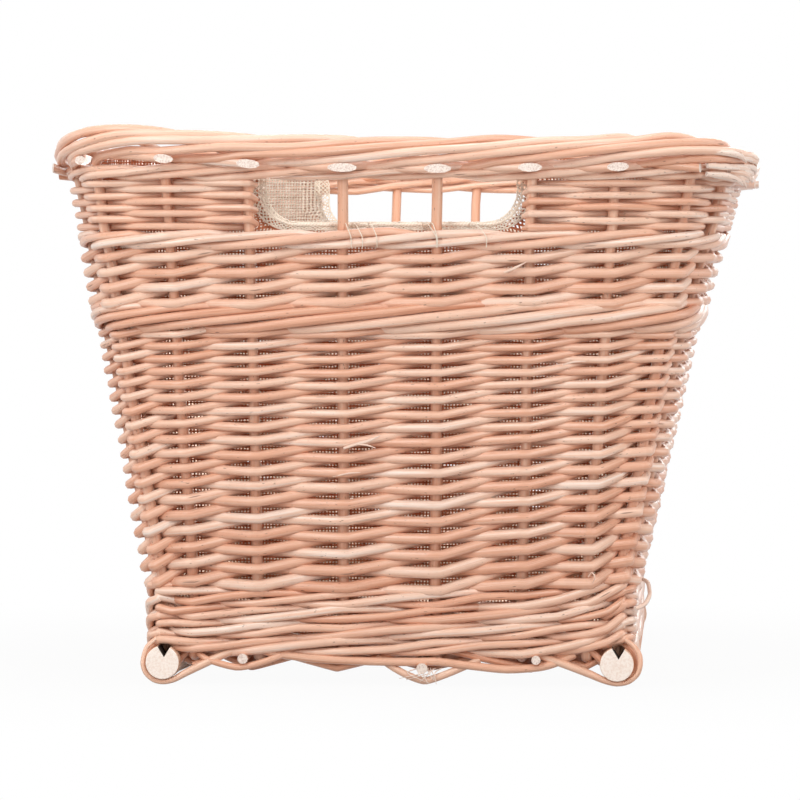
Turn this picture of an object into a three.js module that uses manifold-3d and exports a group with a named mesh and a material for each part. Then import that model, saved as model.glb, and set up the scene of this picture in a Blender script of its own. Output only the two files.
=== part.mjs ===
// A rectangular willow storage basket with a hessian liner, in millimetres, +Z up.
// The origin is on the floor under the middle of the base. X runs across the narrow ends and Y along the
// basket, with the front hand hole at -Y. Two thick poles and four thin sticks carry a woven base. Thirty-two
// stakes rise from it, bands of weaving grip them, and their tops are locked in a rolled border.
import * as THREE from "three";
import { mergeVertices } from "three/addons/utils/BufferGeometryUtils.js";
import Module from "manifold-3d";

const wasm = await Module();
wasm.setup();

// Overall form: the ring of stakes, measured to the stakes' centres.
const overallHeight = 370;
const footHalfWidth = 156.5;
const footHalfLength = 223.5;
const rimHalfWidth = 220;
const rimHalfLength = 284;
const footCornerRadius = 14;
const rimCornerRadius = 66;
const leastCornerRadius = 4;
const footBow = 1.5; // how far the middle of a wall stands proud of its corners, at the foot
const endRimBow = 5;
const sideRimBow = 8;

// Rods.
const stakeRadius = 3.75;
const stakeSides = 6;
const stickRadius = 4;
const stickSides = 8;
const poleRadius = 11.5;
const poleSides = 18;
const fitGap = 0.35; // between a rod and the weaving that grips it
const layerGap = 0.3; // between one woven band and the next

// Where the stakes stand. Each end has three to each side of its middle, as shares of the wall's half width.
const endStakeSharesAtFoot = [0.198, 0.566, 0.843];
const endStakeSharesAtRim = [0.141, 0.426, 0.682];
const holeEdgeStakeIndex = 1; // the hand hole runs between the two end stakes of this place in the lists
const stakesPerSide = 8;
const stakeTopCover = 10; // of border over the stakes' tops
const sideStakeDepth = 12; // how deep a side stake sits in its pole
const stakeLegLength = 80; // the part of an end stake that lies in the base
const slypeLength = 6.5; // the tapered foot of a corner stake
const slypeTipRadius = 1.2;

// Base.
const wrapThickness = 4; // weaving round a pole
const wrapSteps = 6;
const flatDepth = 0.5; // how much of the lowest wrap is pressed flat on the floor
const baseUnderside = 8;
const baseThickness = 22;
const baseEndReach = 9; // past the stakes, at each end
const stickBesideStake = 9.5; // from a base stick's centre to that of the stake beside it
const stickProud = 1;
const poleProud = 1;
const notchWidth = 10;
const notchDepth = 8;

// Woven bands. The lower siding fills the height that the others leave.
const upsettHeight = 34; // the walls stand upright here, and flare above it
const middleWaleHeight = 19;
const upperSidingHeight = 35;
const sillHeight = 13;
const handHoleHeight = 33;
const topWaleHeight = 10;
const borderHeight = 22;
const weaveInside = 10; // from the stakes' centres to the inside face of the weaving
const sidingOutside = 9.6; // at a stake, where a row passes in front of it
const sidingDip = 5.6; // how far the siding falls back halfway between two stakes
const waleOutside = 10.6;
const middleWaleOutside = 14;
const borderOutside = 18;
const upsettRows = 4;
const waleGroove = 1.6; // how deep the valley between two rows of waling is

// Hand holes and their hems.
const holeEdgeWall = 2; // weaving between the hole and the stake at its edge
const hemRadius = 2.2;
const hemInset = 4; // from the hole's ends in to the hem's centre line
const hemMargin = 2.5; // from the hole's sill up to the hem's centre line
const hemCornerRadius = 8;
const hemSides = 6;
const hemCornerSteps = 4;
const hemStep = 25; // the longest straight piece of the hem's path

// Liner.
const linerThickness = 2;
const linerDrop = 18; // from the rim down to the liner's top edge

// Facets of the walls.
const straightSteps = 5;
const cornerSteps = 4;

// Heights and places that follow from the sizes above.
const poleHeight = wrapThickness - flatDepth + poleRadius;
const wrapRadius = poleRadius + wrapThickness;
const baseTop = baseUnderside + baseThickness;
const stickHeight = baseUnderside + baseThickness / 2;
const baseHalfLength = footHalfLength + footBow + baseEndReach;
const poleHalfLength = baseHalfLength + poleProud;
const upsettTop = baseTop + upsettHeight;
const topWaleTop = overallHeight - borderHeight;
const handHoleTop = topWaleTop - topWaleHeight;
const sillTop = handHoleTop - handHoleHeight;
const upperSidingTop = sillTop - sillHeight;
const middleWaleTop = upperSidingTop - upperSidingHeight;
const lowerSidingTop = middleWaleTop - middleWaleHeight;
const bandTops = [upsettTop, lowerSidingTop, middleWaleTop, upperSidingTop, sillTop, handHoleTop, topWaleTop];
const stakeTop = overallHeight - stakeTopCover;
const cornerInset = footCornerRadius * (1 - Math.SQRT1_2); // from the flat walls in to a corner stake
const poleCentre = footHalfWidth - cornerInset;

const willow = new THREE.MeshStandardMaterial({ color: 0xd9a888, roughness: 0.6, metalness: 0 });
const darkWillow = new THREE.MeshStandardMaterial({ color: 0xc79675, roughness: 0.65, metalness: 0 });
const poleWood = new THREE.MeshStandardMaterial({ color: 0xcba07f, roughness: 0.7, metalness: 0 });
const hessian = new THREE.MeshStandardMaterial({ color: 0xd9c4a8, roughness: 0.95, metalness: 0 });

const basket = new THREE.Group();
basket.name = "willow_storage_basket";

const lerp = THREE.MathUtils.lerp;

function addPiece(name, geometry, material) {
  const mesh = new THREE.Mesh(geometry, material);
  mesh.name = name;
  basket.add(mesh);
  return mesh;
}

// How far up the flare a height is: 0 at the top of the upsett and below it, 1 at the rim.
function climb(z) {
  return Math.max(0, (z - upsettTop) / (overallHeight - upsettTop));
}

// The plan of the wall at a height, moved out from the stakes' centres by out.
function planAt(z, out = 0) {
  const t = climb(z);
  return {
    halfWidth: lerp(footHalfWidth, rimHalfWidth, t) + out,
    halfLength: lerp(footHalfLength, rimHalfLength, t) + out,
    radius: Math.max(lerp(footCornerRadius, rimCornerRadius, t) + out, leastCornerRadius),
  };
}

// The bulge of a straight wall: full in its middle and gone where the corner's arc begins.
function bulge(along, halfStraight, bow) {
  const share = Math.min(1, Math.abs(along) / halfStraight);
  return bow * Math.cos((share * Math.PI) / 2) ** 2;
}

// The Y of the end wall at a point across it, measured outwards.
function endWallAt(x, z, out = 0) {
  const plan = planAt(z, out);
  const bow = lerp(footBow, endRimBow, climb(z));
  return plan.halfLength + bulge(x, plan.halfWidth - plan.radius, bow);
}

// The X of the side wall at a point along it, measured outwards.
function sideWallAt(y, z, out = 0) {
  const plan = planAt(z, out);
  const bow = lerp(footBow, sideRimBow, climb(z));
  return plan.halfWidth + bulge(y, plan.halfLength - plan.radius, bow);
}

// One closed loop round the wall, anticlockwise seen from above.
function wallLoop(z, out) {
  const { halfWidth, halfLength, radius } = planAt(z, out);
  const loop = [];
  for (let corner = 0; corner < 4; corner++) {
    const signX = corner === 0 || corner === 1 ? 1 : -1;
    const signY = corner === 1 || corner === 2 ? 1 : -1;
    const centreX = signX * (halfWidth - radius);
    const centreY = signY * (halfLength - radius);
    const start = (corner - 1) * (Math.PI / 2);
    for (let i = 0; i <= cornerSteps; i++) {
      const angle = start + (i / cornerSteps) * (Math.PI / 2);
      loop.push(new THREE.Vector3(centreX + radius * Math.cos(angle), centreY + radius * Math.sin(angle), z));
    }
    const alongSide = corner % 2 === 0;
    const halfStraight = alongSide ? halfLength - radius : halfWidth - radius;
    for (let i = 1; i < straightSteps; i++) {
      const along = lerp(-halfStraight, halfStraight, i / straightSteps);
      if (alongSide) {
        loop.push(new THREE.Vector3(signX * sideWallAt(along, z, out), signX * along, z));
      } else {
        loop.push(new THREE.Vector3(-signY * along, signY * endWallAt(along, z, out), z));
      }
    }
  }
  return loop;
}

// A skin over equal loops of points. An open stack of loops is closed by a level cap at each end. Every quad is
// split along the same diagonal, seen from outside, so that walls that lie face to face match.
function skin(loops, closed) {
  const count = loops[0].length;
  const positions = loops.flat().flatMap((p) => [p.x, p.y, p.z]);
  const faces = [];
  const bands = closed ? loops.length : loops.length - 1;
  for (let band = 0; band < bands; band++) {
    const low = band * count;
    const high = ((band + 1) % loops.length) * count;
    for (let i = 0; i < count; i++) {
      const j = (i + 1) % count;
      if (positions[3 * high + 2] >= positions[3 * low + 2]) {
        faces.push(low + i, low + j, high + j, low + i, high + j, high + i);
      } else {
        faces.push(low + i, low + j, high + i, low + j, high + j, high + i);
      }
    }
  }
  if (!closed) {
    [loops[0], loops.at(-1)].forEach((loop, end) => {
      const first = end * (loops.length - 1) * count;
      const outline = loop.map((p) => new THREE.Vector2(p.x, p.y));
      const facesUp = (end === 1) === THREE.ShapeUtils.area(outline) > 0;
      for (const [a, b, c] of THREE.ShapeUtils.triangulateShape(outline, [])) {
        faces.push(first + a, first + (facesUp ? b : c), first + (facesUp ? c : b));
      }
    });
  }
  const geometry = new THREE.BufferGeometry();
  geometry.setAttribute("position", new THREE.Float32BufferAttribute(positions, 3));
  geometry.setIndex(faces);
  return geometry;
}

function solidOf(geometry) {
  const bare = new THREE.BufferGeometry();
  bare.setAttribute("position", geometry.getAttribute("position"));
  bare.setIndex(geometry.index);
  const merged = mergeVertices(bare, 1e-3);
  const vertProperties = new Float32Array(merged.attributes.position.array);
  const triVerts = new Uint32Array(merged.index.array);
  return new wasm.Manifold(new wasm.Mesh({ numProp: 3, vertProperties, triVerts }));
}

function geometryOf(solid) {
  const { vertProperties, triVerts } = solid.getMesh();
  const geometry = new THREE.BufferGeometry();
  geometry.setAttribute("position", new THREE.BufferAttribute(vertProperties, 3));
  geometry.setIndex(new THREE.BufferAttribute(triVerts, 1));
  return geometry;
}

function block(minX, maxX, minY, maxY, minZ, maxZ) {
  const geometry = new THREE.BoxGeometry(maxX - minX, maxY - minY, maxZ - minZ);
  geometry.translate((minX + maxX) / 2, (minY + maxY) / 2, (minZ + maxZ) / 2);
  return solidOf(geometry);
}

// A round bar along Y, centred on the basket's middle.
function barAlongY(x, z, radius, sides, length) {
  const geometry = new THREE.CylinderGeometry(radius, radius, length, sides);
  geometry.translate(x, 0, z);
  return solidOf(geometry);
}

// An upright rod through the points that plan gives for each height, as level loops.
function uprightRod(plan, heights, radii) {
  const loops = heights.map((z, level) => {
    const centre = plan(z);
    return Array.from({ length: stakeSides }, (_, i) => {
      const angle = ((i + 0.5) / stakeSides) * Math.PI * 2;
      const x = centre.x + radii[level] * Math.cos(angle);
      return new THREE.Vector3(x, centre.y + radii[level] * Math.sin(angle), z);
    });
  });
  return solidOf(skin(loops, false));
}

// Spots on the wall: across an end, along a side, or round a corner. Each gives its place in plan at a height,
// at a distance out from the stakes' centres.
function endSpot(direction, across) {
  return (z, out = 0) => new THREE.Vector2(across(z), direction * endWallAt(across(z), z, out));
}

function sideSpot(direction, share) {
  return (z, out = 0) => {
    const { halfLength, radius } = planAt(z);
    const y = share * (halfLength - radius);
    return new THREE.Vector2(direction * sideWallAt(y, z, out), y);
  };
}

function cornerSpot(signX, signY, angle) {
  return (z, out = 0) => {
    const { halfWidth, halfLength, radius } = planAt(z, out);
    return new THREE.Vector2(
      signX * (halfWidth - radius + radius * Math.cos(angle)),
      signY * (halfLength - radius + radius * Math.sin(angle)),
    );
  };
}

// The distance of an end stake from the middle of its wall.
function endStakeAcross(index, z) {
  const atFoot = endStakeSharesAtFoot[index] * footHalfWidth;
  const atRim = endStakeSharesAtRim[index] * rimHalfWidth;
  return lerp(atFoot, atRim, climb(z));
}

// Every stake: its name, its spot on the wall, and how its foot is held. A dip is the spot halfway between two.
const stakes = [];
const dips = [];

for (const [end, direction] of [["front", -1], ["rear", 1]]) {
  const across = [[-1, 2], [-1, 1], [-1, 0], [1, 0], [1, 1], [1, 2]].map(
    ([side, i]) => (z) => side * endStakeAcross(i, z),
  );
  across.forEach((stakeAcross, index) => {
    const name = `${end}_stake_${index + 1}`;
    stakes.push({ name, foot: "leg", direction, plan: endSpot(direction, stakeAcross) });
    const next = across[index + 1];
    if (next) dips.push(endSpot(direction, (z) => (stakeAcross(z) + next(z)) / 2));
  });
}

for (const [side, direction] of [["left", -1], ["right", 1]]) {
  const shareAlong = (place) => (2 * place) / (stakesPerSide - 1) - 1;
  for (let i = 0; i < stakesPerSide; i++) {
    stakes.push({ name: `${side}_stake_${i + 1}`, foot: "socket", plan: sideSpot(direction, shareAlong(i)) });
    if (i < stakesPerSide - 1) dips.push(sideSpot(direction, shareAlong(i + 0.5)));
  }
  for (const [end, endDirection] of [["front", -1], ["rear", 1]]) {
    const plan = cornerSpot(direction, endDirection, Math.PI / 4);
    stakes.push({ name: `${end}_${side}_corner_stake`, foot: "slype", plan });
    for (const angle of [Math.PI / 8, (3 * Math.PI) / 8]) dips.push(cornerSpot(direction, endDirection, angle));
  }
}

// A stake's solid. With extra, it is the room that the weaving leaves for it.
function stakeSolid(stake, extra = 0) {
  const radius = stakeRadius + extra;
  if (stake.foot === "socket") {
    const bottom = poleHeight + poleRadius - sideStakeDepth - extra;
    return uprightRod(stake.plan, [bottom, upsettTop, stakeTop + extra], [radius, radius, radius]);
  }
  if (stake.foot === "slype") {
    const poleTop = poleHeight + poleRadius;
    const heights = [poleTop - slypeLength - extra, poleTop, upsettTop, stakeTop + extra];
    return uprightRod(stake.plan, heights, [slypeTipRadius + extra, radius, radius, radius]);
  }
  // The stake lies in the base beside a stick, then turns up sharply at the wall.
  const bottom = stickHeight - radius;
  const upright = uprightRod(stake.plan, [bottom, upsettTop, stakeTop + extra], [radius, radius, radius]);
  const elbow = stake.plan(stickHeight);
  const legGeometry = new THREE.CylinderGeometry(radius, radius, stakeLegLength + extra, stakeSides);
  legGeometry.rotateY(Math.PI / stakeSides);
  legGeometry.translate(elbow.x, elbow.y - (stake.direction * (stakeLegLength + extra)) / 2, stickHeight);
  return upright.add(solidOf(legGeometry));
}

const stakeRooms = stakes.map((stake) => stakeSolid(stake, fitGap));

function cutForStakes(solid) {
  return stakeRooms.reduce((rest, room) => rest.subtract(room), solid);
}

// A ring of weaving swept round the wall. Its section is a list of [out, height] corners.
function ringOfWeaving(section) {
  return solidOf(skin(section.map(([out, z]) => wallLoop(z, out)), true));
}

// Randing. Its rods pass in front of one stake and behind the next, so its outside swells at every stake and
// falls back between two, where the rods cross.
const bearing = ({ spot }) => Math.atan2(spot(upsettTop).y, spot(upsettTop).x);
const swells = [
  ...stakes.map((stake) => ({ spot: stake.plan, out: sidingOutside })),
  ...dips.map((spot) => ({ spot, out: sidingOutside - sidingDip })),
].sort((a, b) => bearing(a) - bearing(b));

function randedBand(bottom, top) {
  const outside = [bottom, top].map((z) =>
    swells.map(({ spot, out }) => {
      const { x, y } = spot(z, out);
      return new THREE.Vector3(x, y, z);
    }),
  );
  const inside = [bottom - layerGap, top + layerGap].map((z) => wallLoop(z, -weaveInside));
  return solidOf(skin(outside, false)).subtract(solidOf(skin(inside, false)));
}

// Waling: each row of it swells, with a valley between it and the next.
function waledBand(bottom, top, outside, rows) {
  const section = [[-weaveInside, bottom]];
  const rowHeight = (top - bottom) / rows;
  for (let row = 0; row < rows; row++) {
    const low = bottom + row * rowHeight;
    section.push([outside - waleGroove, low], [outside, low + rowHeight / 2]);
  }
  section.push([outside - waleGroove, top], [-weaveInside, top]);
  return ringOfWeaving(section);
}

// Base: poles with stake sockets and end notches, sticks, and the mat woven round them.
const cornerStakeAlong = footHalfLength - cornerInset;
const notchLength = poleHalfLength - cornerStakeAlong + stakeRadius;

function notchSolid(side, end) {
  const top = poleHeight + poleRadius;
  const centre = side * poleCentre;
  const outline = new THREE.Shape([
    new THREE.Vector2(centre - notchWidth / 2, top),
    new THREE.Vector2(centre, top - notchDepth),
    new THREE.Vector2(centre + notchWidth / 2, top),
    new THREE.Vector2(centre + notchWidth / 2, top + notchDepth),
    new THREE.Vector2(centre - notchWidth / 2, top + notchDepth),
  ]);
  const geometry = new THREE.ExtrudeGeometry(outline, { depth: 2 * notchLength, bevelEnabled: false });
  geometry.translate(0, 0, -notchLength);
  geometry.rotateX(Math.PI / 2);
  geometry.translate(0, end * poleHalfLength, 0);
  return solidOf(geometry);
}

for (const [name, side] of [["left", -1], ["right", 1]]) {
  let pole = barAlongY(side * poleCentre, poleHeight, poleRadius, poleSides, 2 * poleHalfLength);
  for (const end of [-1, 1]) pole = pole.subtract(notchSolid(side, end));
  addPiece(`${name}_base_pole`, geometryOf(cutForStakes(pole)), poleWood);
}

const [innerStake, outerStake] = [0, 1].map((index) => endStakeAcross(index, stickHeight));
const stickOffsets = [
  -outerStake - stickBesideStake,
  -innerStake - stickBesideStake,
  innerStake - stickBesideStake,
  outerStake + stickBesideStake,
];
stickOffsets.forEach((x, index) => {
  const stick = barAlongY(x, stickHeight, stickRadius, stickSides, 2 * (baseHalfLength + stickProud));
  addPiece(`base_stick_${index + 1}`, geometryOf(stick), darkWillow);
});

function baseWeave() {
  const flat = Math.sqrt(wrapRadius ** 2 - poleHeight ** 2);
  const floorAngle = Math.atan2(-poleHeight, flat);
  const topAngle = Math.asin((baseTop - poleHeight) / wrapRadius);
  const underAngle = Math.asin((baseUnderside - poleHeight) / wrapRadius);
  const outline = new THREE.Shape();
  outline.moveTo(-poleCentre - flat, 0);
  outline.lineTo(-poleCentre + flat, 0);
  outline.absarc(-poleCentre, poleHeight, wrapRadius, floorAngle, underAngle, false);
  outline.absarc(poleCentre, poleHeight, wrapRadius, Math.PI - underAngle, Math.PI - floorAngle, false);
  outline.lineTo(poleCentre + flat, 0);
  outline.absarc(poleCentre, poleHeight, wrapRadius, floorAngle, topAngle, false);
  outline.absarc(-poleCentre, poleHeight, wrapRadius, Math.PI - topAngle, Math.PI - floorAngle, false);
  const length = 2 * baseHalfLength;
  const geometry = new THREE.ExtrudeGeometry(outline, {
    depth: length,
    bevelEnabled: false,
    curveSegments: wrapSteps,
  });
  geometry.translate(0, 0, -length / 2);
  geometry.rotateX(Math.PI / 2);
  let mat = solidOf(geometry);
  for (const side of [-1, 1]) {
    mat = mat.subtract(barAlongY(side * poleCentre, poleHeight, poleRadius + fitGap, poleSides, 2 * length));
  }
  for (const x of stickOffsets) {
    mat = mat.subtract(barAlongY(x, stickHeight, stickRadius + fitGap, stickSides, 2 * length));
  }
  return cutForStakes(mat);
}

addPiece("base_weave", geometryOf(baseWeave()), darkWillow);

for (const stake of stakes) addPiece(stake.name, geometryOf(stakeSolid(stake)), willow);

// Walls, from the base up.
const upsettWale = waledBand(baseTop + layerGap, upsettTop, waleOutside, upsettRows);
addPiece("upsett_wale", geometryOf(cutForStakes(upsettWale)), willow);

const lowerSiding = randedBand(upsettTop + layerGap, lowerSidingTop);
addPiece("lower_siding", geometryOf(cutForStakes(lowerSiding)), willow);

const middleWale = waledBand(lowerSidingTop + layerGap, middleWaleTop, middleWaleOutside, 1);
addPiece("middle_wale", geometryOf(cutForStakes(middleWale)), willow);

const upperSiding = randedBand(middleWaleTop + layerGap, upperSidingTop);
addPiece("upper_siding", geometryOf(cutForStakes(upperSiding)), willow);

const sillWale = waledBand(upperSidingTop + layerGap, sillTop, waleOutside, 1);
addPiece("hand_hole_sill_wale", geometryOf(cutForStakes(sillWale)), willow);

const handHoleHalfWidth = endStakeAcross(holeEdgeStakeIndex, sillTop) - stakeRadius - fitGap - holeEdgeWall;
const besideHoles = cutForStakes(randedBand(sillTop + layerGap, handHoleTop));
const beyond = rimHalfLength * 2;
for (const [name, side] of [["left", -1], ["right", 1]]) {
  const inner = side * handHoleHalfWidth;
  const outer = side * beyond;
  const keep = block(Math.min(inner, outer), Math.max(inner, outer), -beyond, beyond, 0, overallHeight);
  addPiece(`${name}_hand_hole_siding`, geometryOf(besideHoles.intersect(keep)), willow);
}

const topWale = waledBand(handHoleTop + layerGap, topWaleTop, waleOutside, 1);
addPiece("top_wale", geometryOf(cutForStakes(topWale)), willow);

const borderBottom = topWaleTop + layerGap;
const borderAt = (share) => lerp(borderBottom, overallHeight, share);
const border = ringOfWeaving([
  [-weaveInside, borderAt(0.1)],
  [0, borderAt(0)],
  [borderOutside * 0.8, borderAt(0)],
  [borderOutside, borderAt(0.3)],
  [borderOutside * 0.75, borderAt(0.8)],
  [borderOutside * 0.15, borderAt(1)],
  [-weaveInside * 0.7, borderAt(0.9)],
]);
addPiece("rolled_border", geometryOf(cutForStakes(border)), willow);

// Liner: a hessian bag against the weaving, cut down to the sill and hemmed at each hand hole.
const linerOutside = -(weaveInside + layerGap);
const linerInside = linerOutside - linerThickness;
const linerFloor = baseTop + layerGap;
const linerTop = overallHeight - linerDrop;

// The hem's centre line in the plane of the hole, moved out by a margin: down one end of the hole, along its
// sill and up the other end. The points run from the left end's top to the right end's.
function hemOutline(top, margin) {
  const halfWidth = handHoleHalfWidth - hemInset + margin;
  const bottom = sillTop + hemMargin - margin;
  const radius = hemCornerRadius + margin;
  const shape = new THREE.Shape();
  shape.moveTo(-halfWidth, top);
  shape.lineTo(-halfWidth, bottom + radius);
  shape.absarc(-halfWidth + radius, bottom + radius, radius, Math.PI, 1.5 * Math.PI, false);
  shape.absarc(halfWidth - radius, bottom + radius, radius, -Math.PI / 2, 0, false);
  shape.lineTo(halfWidth, top);
  return shape;
}

function linerBag() {
  const outerLoops = [linerFloor, ...bandTops, linerTop].map((z) => wallLoop(z, linerOutside));
  const innerLevels = [linerFloor + linerThickness, ...bandTops, overallHeight];
  const innerLoops = innerLevels.map((z) => wallLoop(z, linerInside));
  const bag = solidOf(skin(outerLoops, false)).subtract(solidOf(skin(innerLoops, false)));
  const holes = new THREE.ExtrudeGeometry(hemOutline(overallHeight, hemRadius + layerGap), {
    depth: 2 * beyond,
    bevelEnabled: false,
    curveSegments: hemCornerSteps,
  });
  holes.translate(0, 0, -beyond);
  holes.rotateX(Math.PI / 2);
  return bag.subtract(solidOf(holes));
}

addPiece("hessian_liner", geometryOf(linerBag()), hessian);

// The hem is a roll of hessian round the hand hole, level with the liner's wall and open under the top wale.
function handHoleHem(direction) {
  const corners = hemOutline(handHoleTop - layerGap, 0).getPoints(hemCornerSteps);
  const path = corners.slice(0, -1).flatMap((point, i) => {
    const next = corners[i + 1];
    const pieces = Math.ceil(point.distanceTo(next) / hemStep);
    return Array.from({ length: pieces }, (_, k) => point.clone().lerp(next, k / pieces));
  });
  path.push(corners.at(-1));
  const loops = path.map((point, i) => {
    const before = path[Math.max(0, i - 1)];
    const after = path[Math.min(path.length - 1, i + 1)];
    const along = after.clone().sub(before).normalize();
    const outward = new THREE.Vector2(along.y, -along.x);
    return Array.from({ length: hemSides }, (_, side) => {
      const angle = (side / hemSides) * Math.PI * 2;
      const place = point.clone().addScaledVector(outward, hemRadius * Math.cos(angle));
      const wall = endWallAt(place.x, place.y, linerOutside - linerThickness / 2);
      return new THREE.Vector3(place.x, direction * (wall + hemRadius * Math.sin(angle)), place.y);
    });
  });
  return skin(direction > 0 ? loops : loops.reverse(), false);
}

addPiece("front_hand_hole_hem", handHoleHem(-1), hessian);
addPiece("rear_hand_hole_hem", handHoleHem(1), hessian);

export default basket;
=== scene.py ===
# %% [markdown]
# # A willow basket, rod by rod
#
# The basket stands on two thick poles. Thirty-two stakes rise round its base, and every other rod is woven
# between them: a stout wale at the foot, plain randing above it, more wales, and a border rolled from the
# stakes' own tops. A liner of hessian hangs inside.
#
# The model that holds the measures is loaded first and never changes. Each piece below replaces the plain
# solid of the same name with the rods that the solid stands for, in the same place.

# %% Open the frame
import functools
import math
import random

import bmesh
import bpy
import numpy as np
from mathutils import Matrix, Vector


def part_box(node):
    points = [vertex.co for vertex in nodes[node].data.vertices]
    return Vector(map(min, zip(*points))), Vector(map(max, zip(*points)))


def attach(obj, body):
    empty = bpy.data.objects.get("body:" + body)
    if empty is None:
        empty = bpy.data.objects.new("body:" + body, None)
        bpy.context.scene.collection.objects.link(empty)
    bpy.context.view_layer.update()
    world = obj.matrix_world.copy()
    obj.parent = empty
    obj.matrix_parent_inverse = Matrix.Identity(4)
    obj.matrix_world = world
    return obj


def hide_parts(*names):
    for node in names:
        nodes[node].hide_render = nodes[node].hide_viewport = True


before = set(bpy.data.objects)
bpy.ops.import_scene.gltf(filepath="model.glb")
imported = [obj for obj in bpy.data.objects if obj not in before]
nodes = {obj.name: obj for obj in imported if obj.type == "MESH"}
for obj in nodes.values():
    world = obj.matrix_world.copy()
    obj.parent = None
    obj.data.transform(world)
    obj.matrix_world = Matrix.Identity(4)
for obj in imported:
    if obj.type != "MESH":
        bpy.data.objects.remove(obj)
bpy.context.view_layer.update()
chance = random.Random(7)

# %% [markdown]
# ## The ring of stakes
#
# Everything is woven round the stakes, so their places come first. A stake stands upright up to the knee,
# where the wall begins to flare, and then leans out in a straight line. Two rings of centres, read from the
# stakes of the frame, therefore say where the wall is at any height. Stakes are counted to the right, as a
# weaver sees them from outside.

# %% Read the stakes' centres
STAKE_NAMES = [
    *[f"front_stake_{i}" for i in range(1, 7)], "front_right_corner_stake",
    *[f"right_stake_{i}" for i in range(1, 9)], "rear_right_corner_stake",
    *[f"rear_stake_{i}" for i in range(6, 0, -1)], "rear_left_corner_stake",
    *[f"left_stake_{i}" for i in range(8, 0, -1)], "front_left_corner_stake",
]
STAKES = len(STAKE_NAMES)
CORNERS = (6, 15, 22, 31)
LEAN = 0.004  # nothing hand-woven is quite square: the rim sits a little to the right of the foot


def corners_of(name):
    return np.array([v.co for v in nodes[name].data.vertices])


def stake_centre(name, height):
    level = corners_of(name)
    level = level[np.abs(level[:, 2] - height) < 2e-4]
    return (level.min(axis=0) + level.max(axis=0))[:2] / 2


levels = np.unique(corners_of("left_stake_1")[:, 2].round(4))
knee, stake_top = levels[-2], levels[-1]
foot_ring = np.array([stake_centre(name, knee) for name in STAKE_NAMES])
rim_ring = np.array([stake_centre(name, stake_top) for name in STAKE_NAMES])
rim_ring[:, 0] += LEAN
print("stakes:", STAKES, "knee at", knee, "tops at", stake_top)

# %% [markdown]
# A point of the wall is named by three numbers: how many stakes to the right, how high, and how far out
# from the stakes' centres. A closed Catmull-Rom curve through the centres turns them into a place. Its
# tangent gives the outward direction, so a rod that passes behind a stake is simply one with a negative
# distance.

# %% From stakes, height and distance out to a place
SWELL = 0.0055  # how far the right-hand wall swells outwards near its top
SWELL_STATIONS = (5.6, 7.0, 14.0, 15.4)
SWELL_FROM, SWELL_TO = 0.255, 0.315


def catmull_rom(a, b, c, d, t):
    """A place on the curve from b to c, and the direction of the curve there."""
    bend, twist = 2 * a - 5 * b + 4 * c - d, 3 * b - a - 3 * c + d
    place = b + (t * (c - a) + t**2 * bend + t**3 * twist) / 2
    return place, (c - a) / 2 + t * bend + 1.5 * t**2 * twist


def wall_points(station, height, out):
    given = (np.atleast_1d(np.asarray(value, float)) for value in (station, height, out))
    station, height, out = np.broadcast_arrays(*given)
    on_right = np.interp(station % STAKES, SWELL_STATIONS, (0, 1, 1, 0))
    out = out + SWELL * on_right * np.clip((height - SWELL_FROM) / (SWELL_TO - SWELL_FROM), 0, 1)
    flare = np.maximum(0, (height - knee) / (stake_top - knee))[:, None]
    before = np.floor(station).astype(int)
    near = [(before + k) % STAKES for k in (-1, 0, 1, 2)]
    centres = [foot_ring[i] * (1 - flare) + rim_ring[i] * flare for i in near]
    place, along = catmull_rom(*centres, (station - before)[:, None])
    outward = np.column_stack([along[:, 1], -along[:, 0]]) / np.linalg.norm(along, axis=1)[:, None]
    return np.column_stack([place + outward * out[:, None], height])


print("middle of the front rim:", wall_points(2.5, stake_top, 0)[0].round(3))


# %% More points between the knots of a path
def supple(knots, straight, steps=(0, 0.12, 0.35, 0.65, 0.88)):
    """More rows between those given: a soft curve where straight is 0, kinked lines where it is 1."""
    knots = np.asarray(knots, float)
    ends = np.vstack([knots[:1], knots, knots[-1:]])
    a, b, c, d = ends[:-3], ends[1:-2], ends[2:-1], ends[3:]
    between = []
    for t in steps:
        curve = catmull_rom(a, b, c, d, t)[0]
        between.append(curve * (1 - straight) + (b + (c - b) * t) * straight)
    return np.vstack([np.stack(between, 1).reshape(-1, knots.shape[1]), knots[-1:]])


def kinked(knots, flat=0.055, soft=0.03):
    """Straight lines between knots. Each knot becomes a short flat with a tight bend beside it."""
    knots = np.asarray(knots, float)
    before, after = knots[:-1], knots[1:]
    between = []
    for t in (flat, flat + soft, 0.5, 1 - flat - soft, 1 - flat):
        row = before + (after - before) * (t - flat) / (1 - 2 * flat)
        row[:, 0] = before[:, 0] + (after[:, 0] - before[:, 0]) * t
        between.append(row)
    return np.vstack([np.stack(between, 1).reshape(-1, knots.shape[1]), knots[-1:]])


# %% [markdown]
# ## From a bmesh to a piece
#
# Every piece is drawn in a bmesh, made a mesh and put into the scene as an object. Modifiers that cut or
# sweep are applied at once, so that later steps see the finished mesh. Last, the piece rides on the
# basket's one body, and the plain solids it stands for are hidden.

# %% Mesh, object and piece
def finished_mesh(shape, name):
    """A mesh of a bmesh, which is used up."""
    mesh = bpy.data.meshes.new(name)
    shape.to_mesh(mesh)
    shape.free()
    return mesh


def in_scene(data):
    """An object of the same name as its mesh, lamp or camera, in the scene."""
    thing = bpy.data.objects.new(data.name, data)
    bpy.context.scene.collection.objects.link(thing)
    return thing


def modified(thing, *tools):
    """The mesh of an object with its modifiers applied. The object and its tools are used up."""
    mesh = bpy.data.meshes.new_from_object(thing.evaluated_get(bpy.context.evaluated_depsgraph_get()))
    for spent in (thing, *tools):
        data = spent.data
        bpy.data.objects.remove(spent)
        bpy.data.meshes.remove(data)
    return mesh


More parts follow.
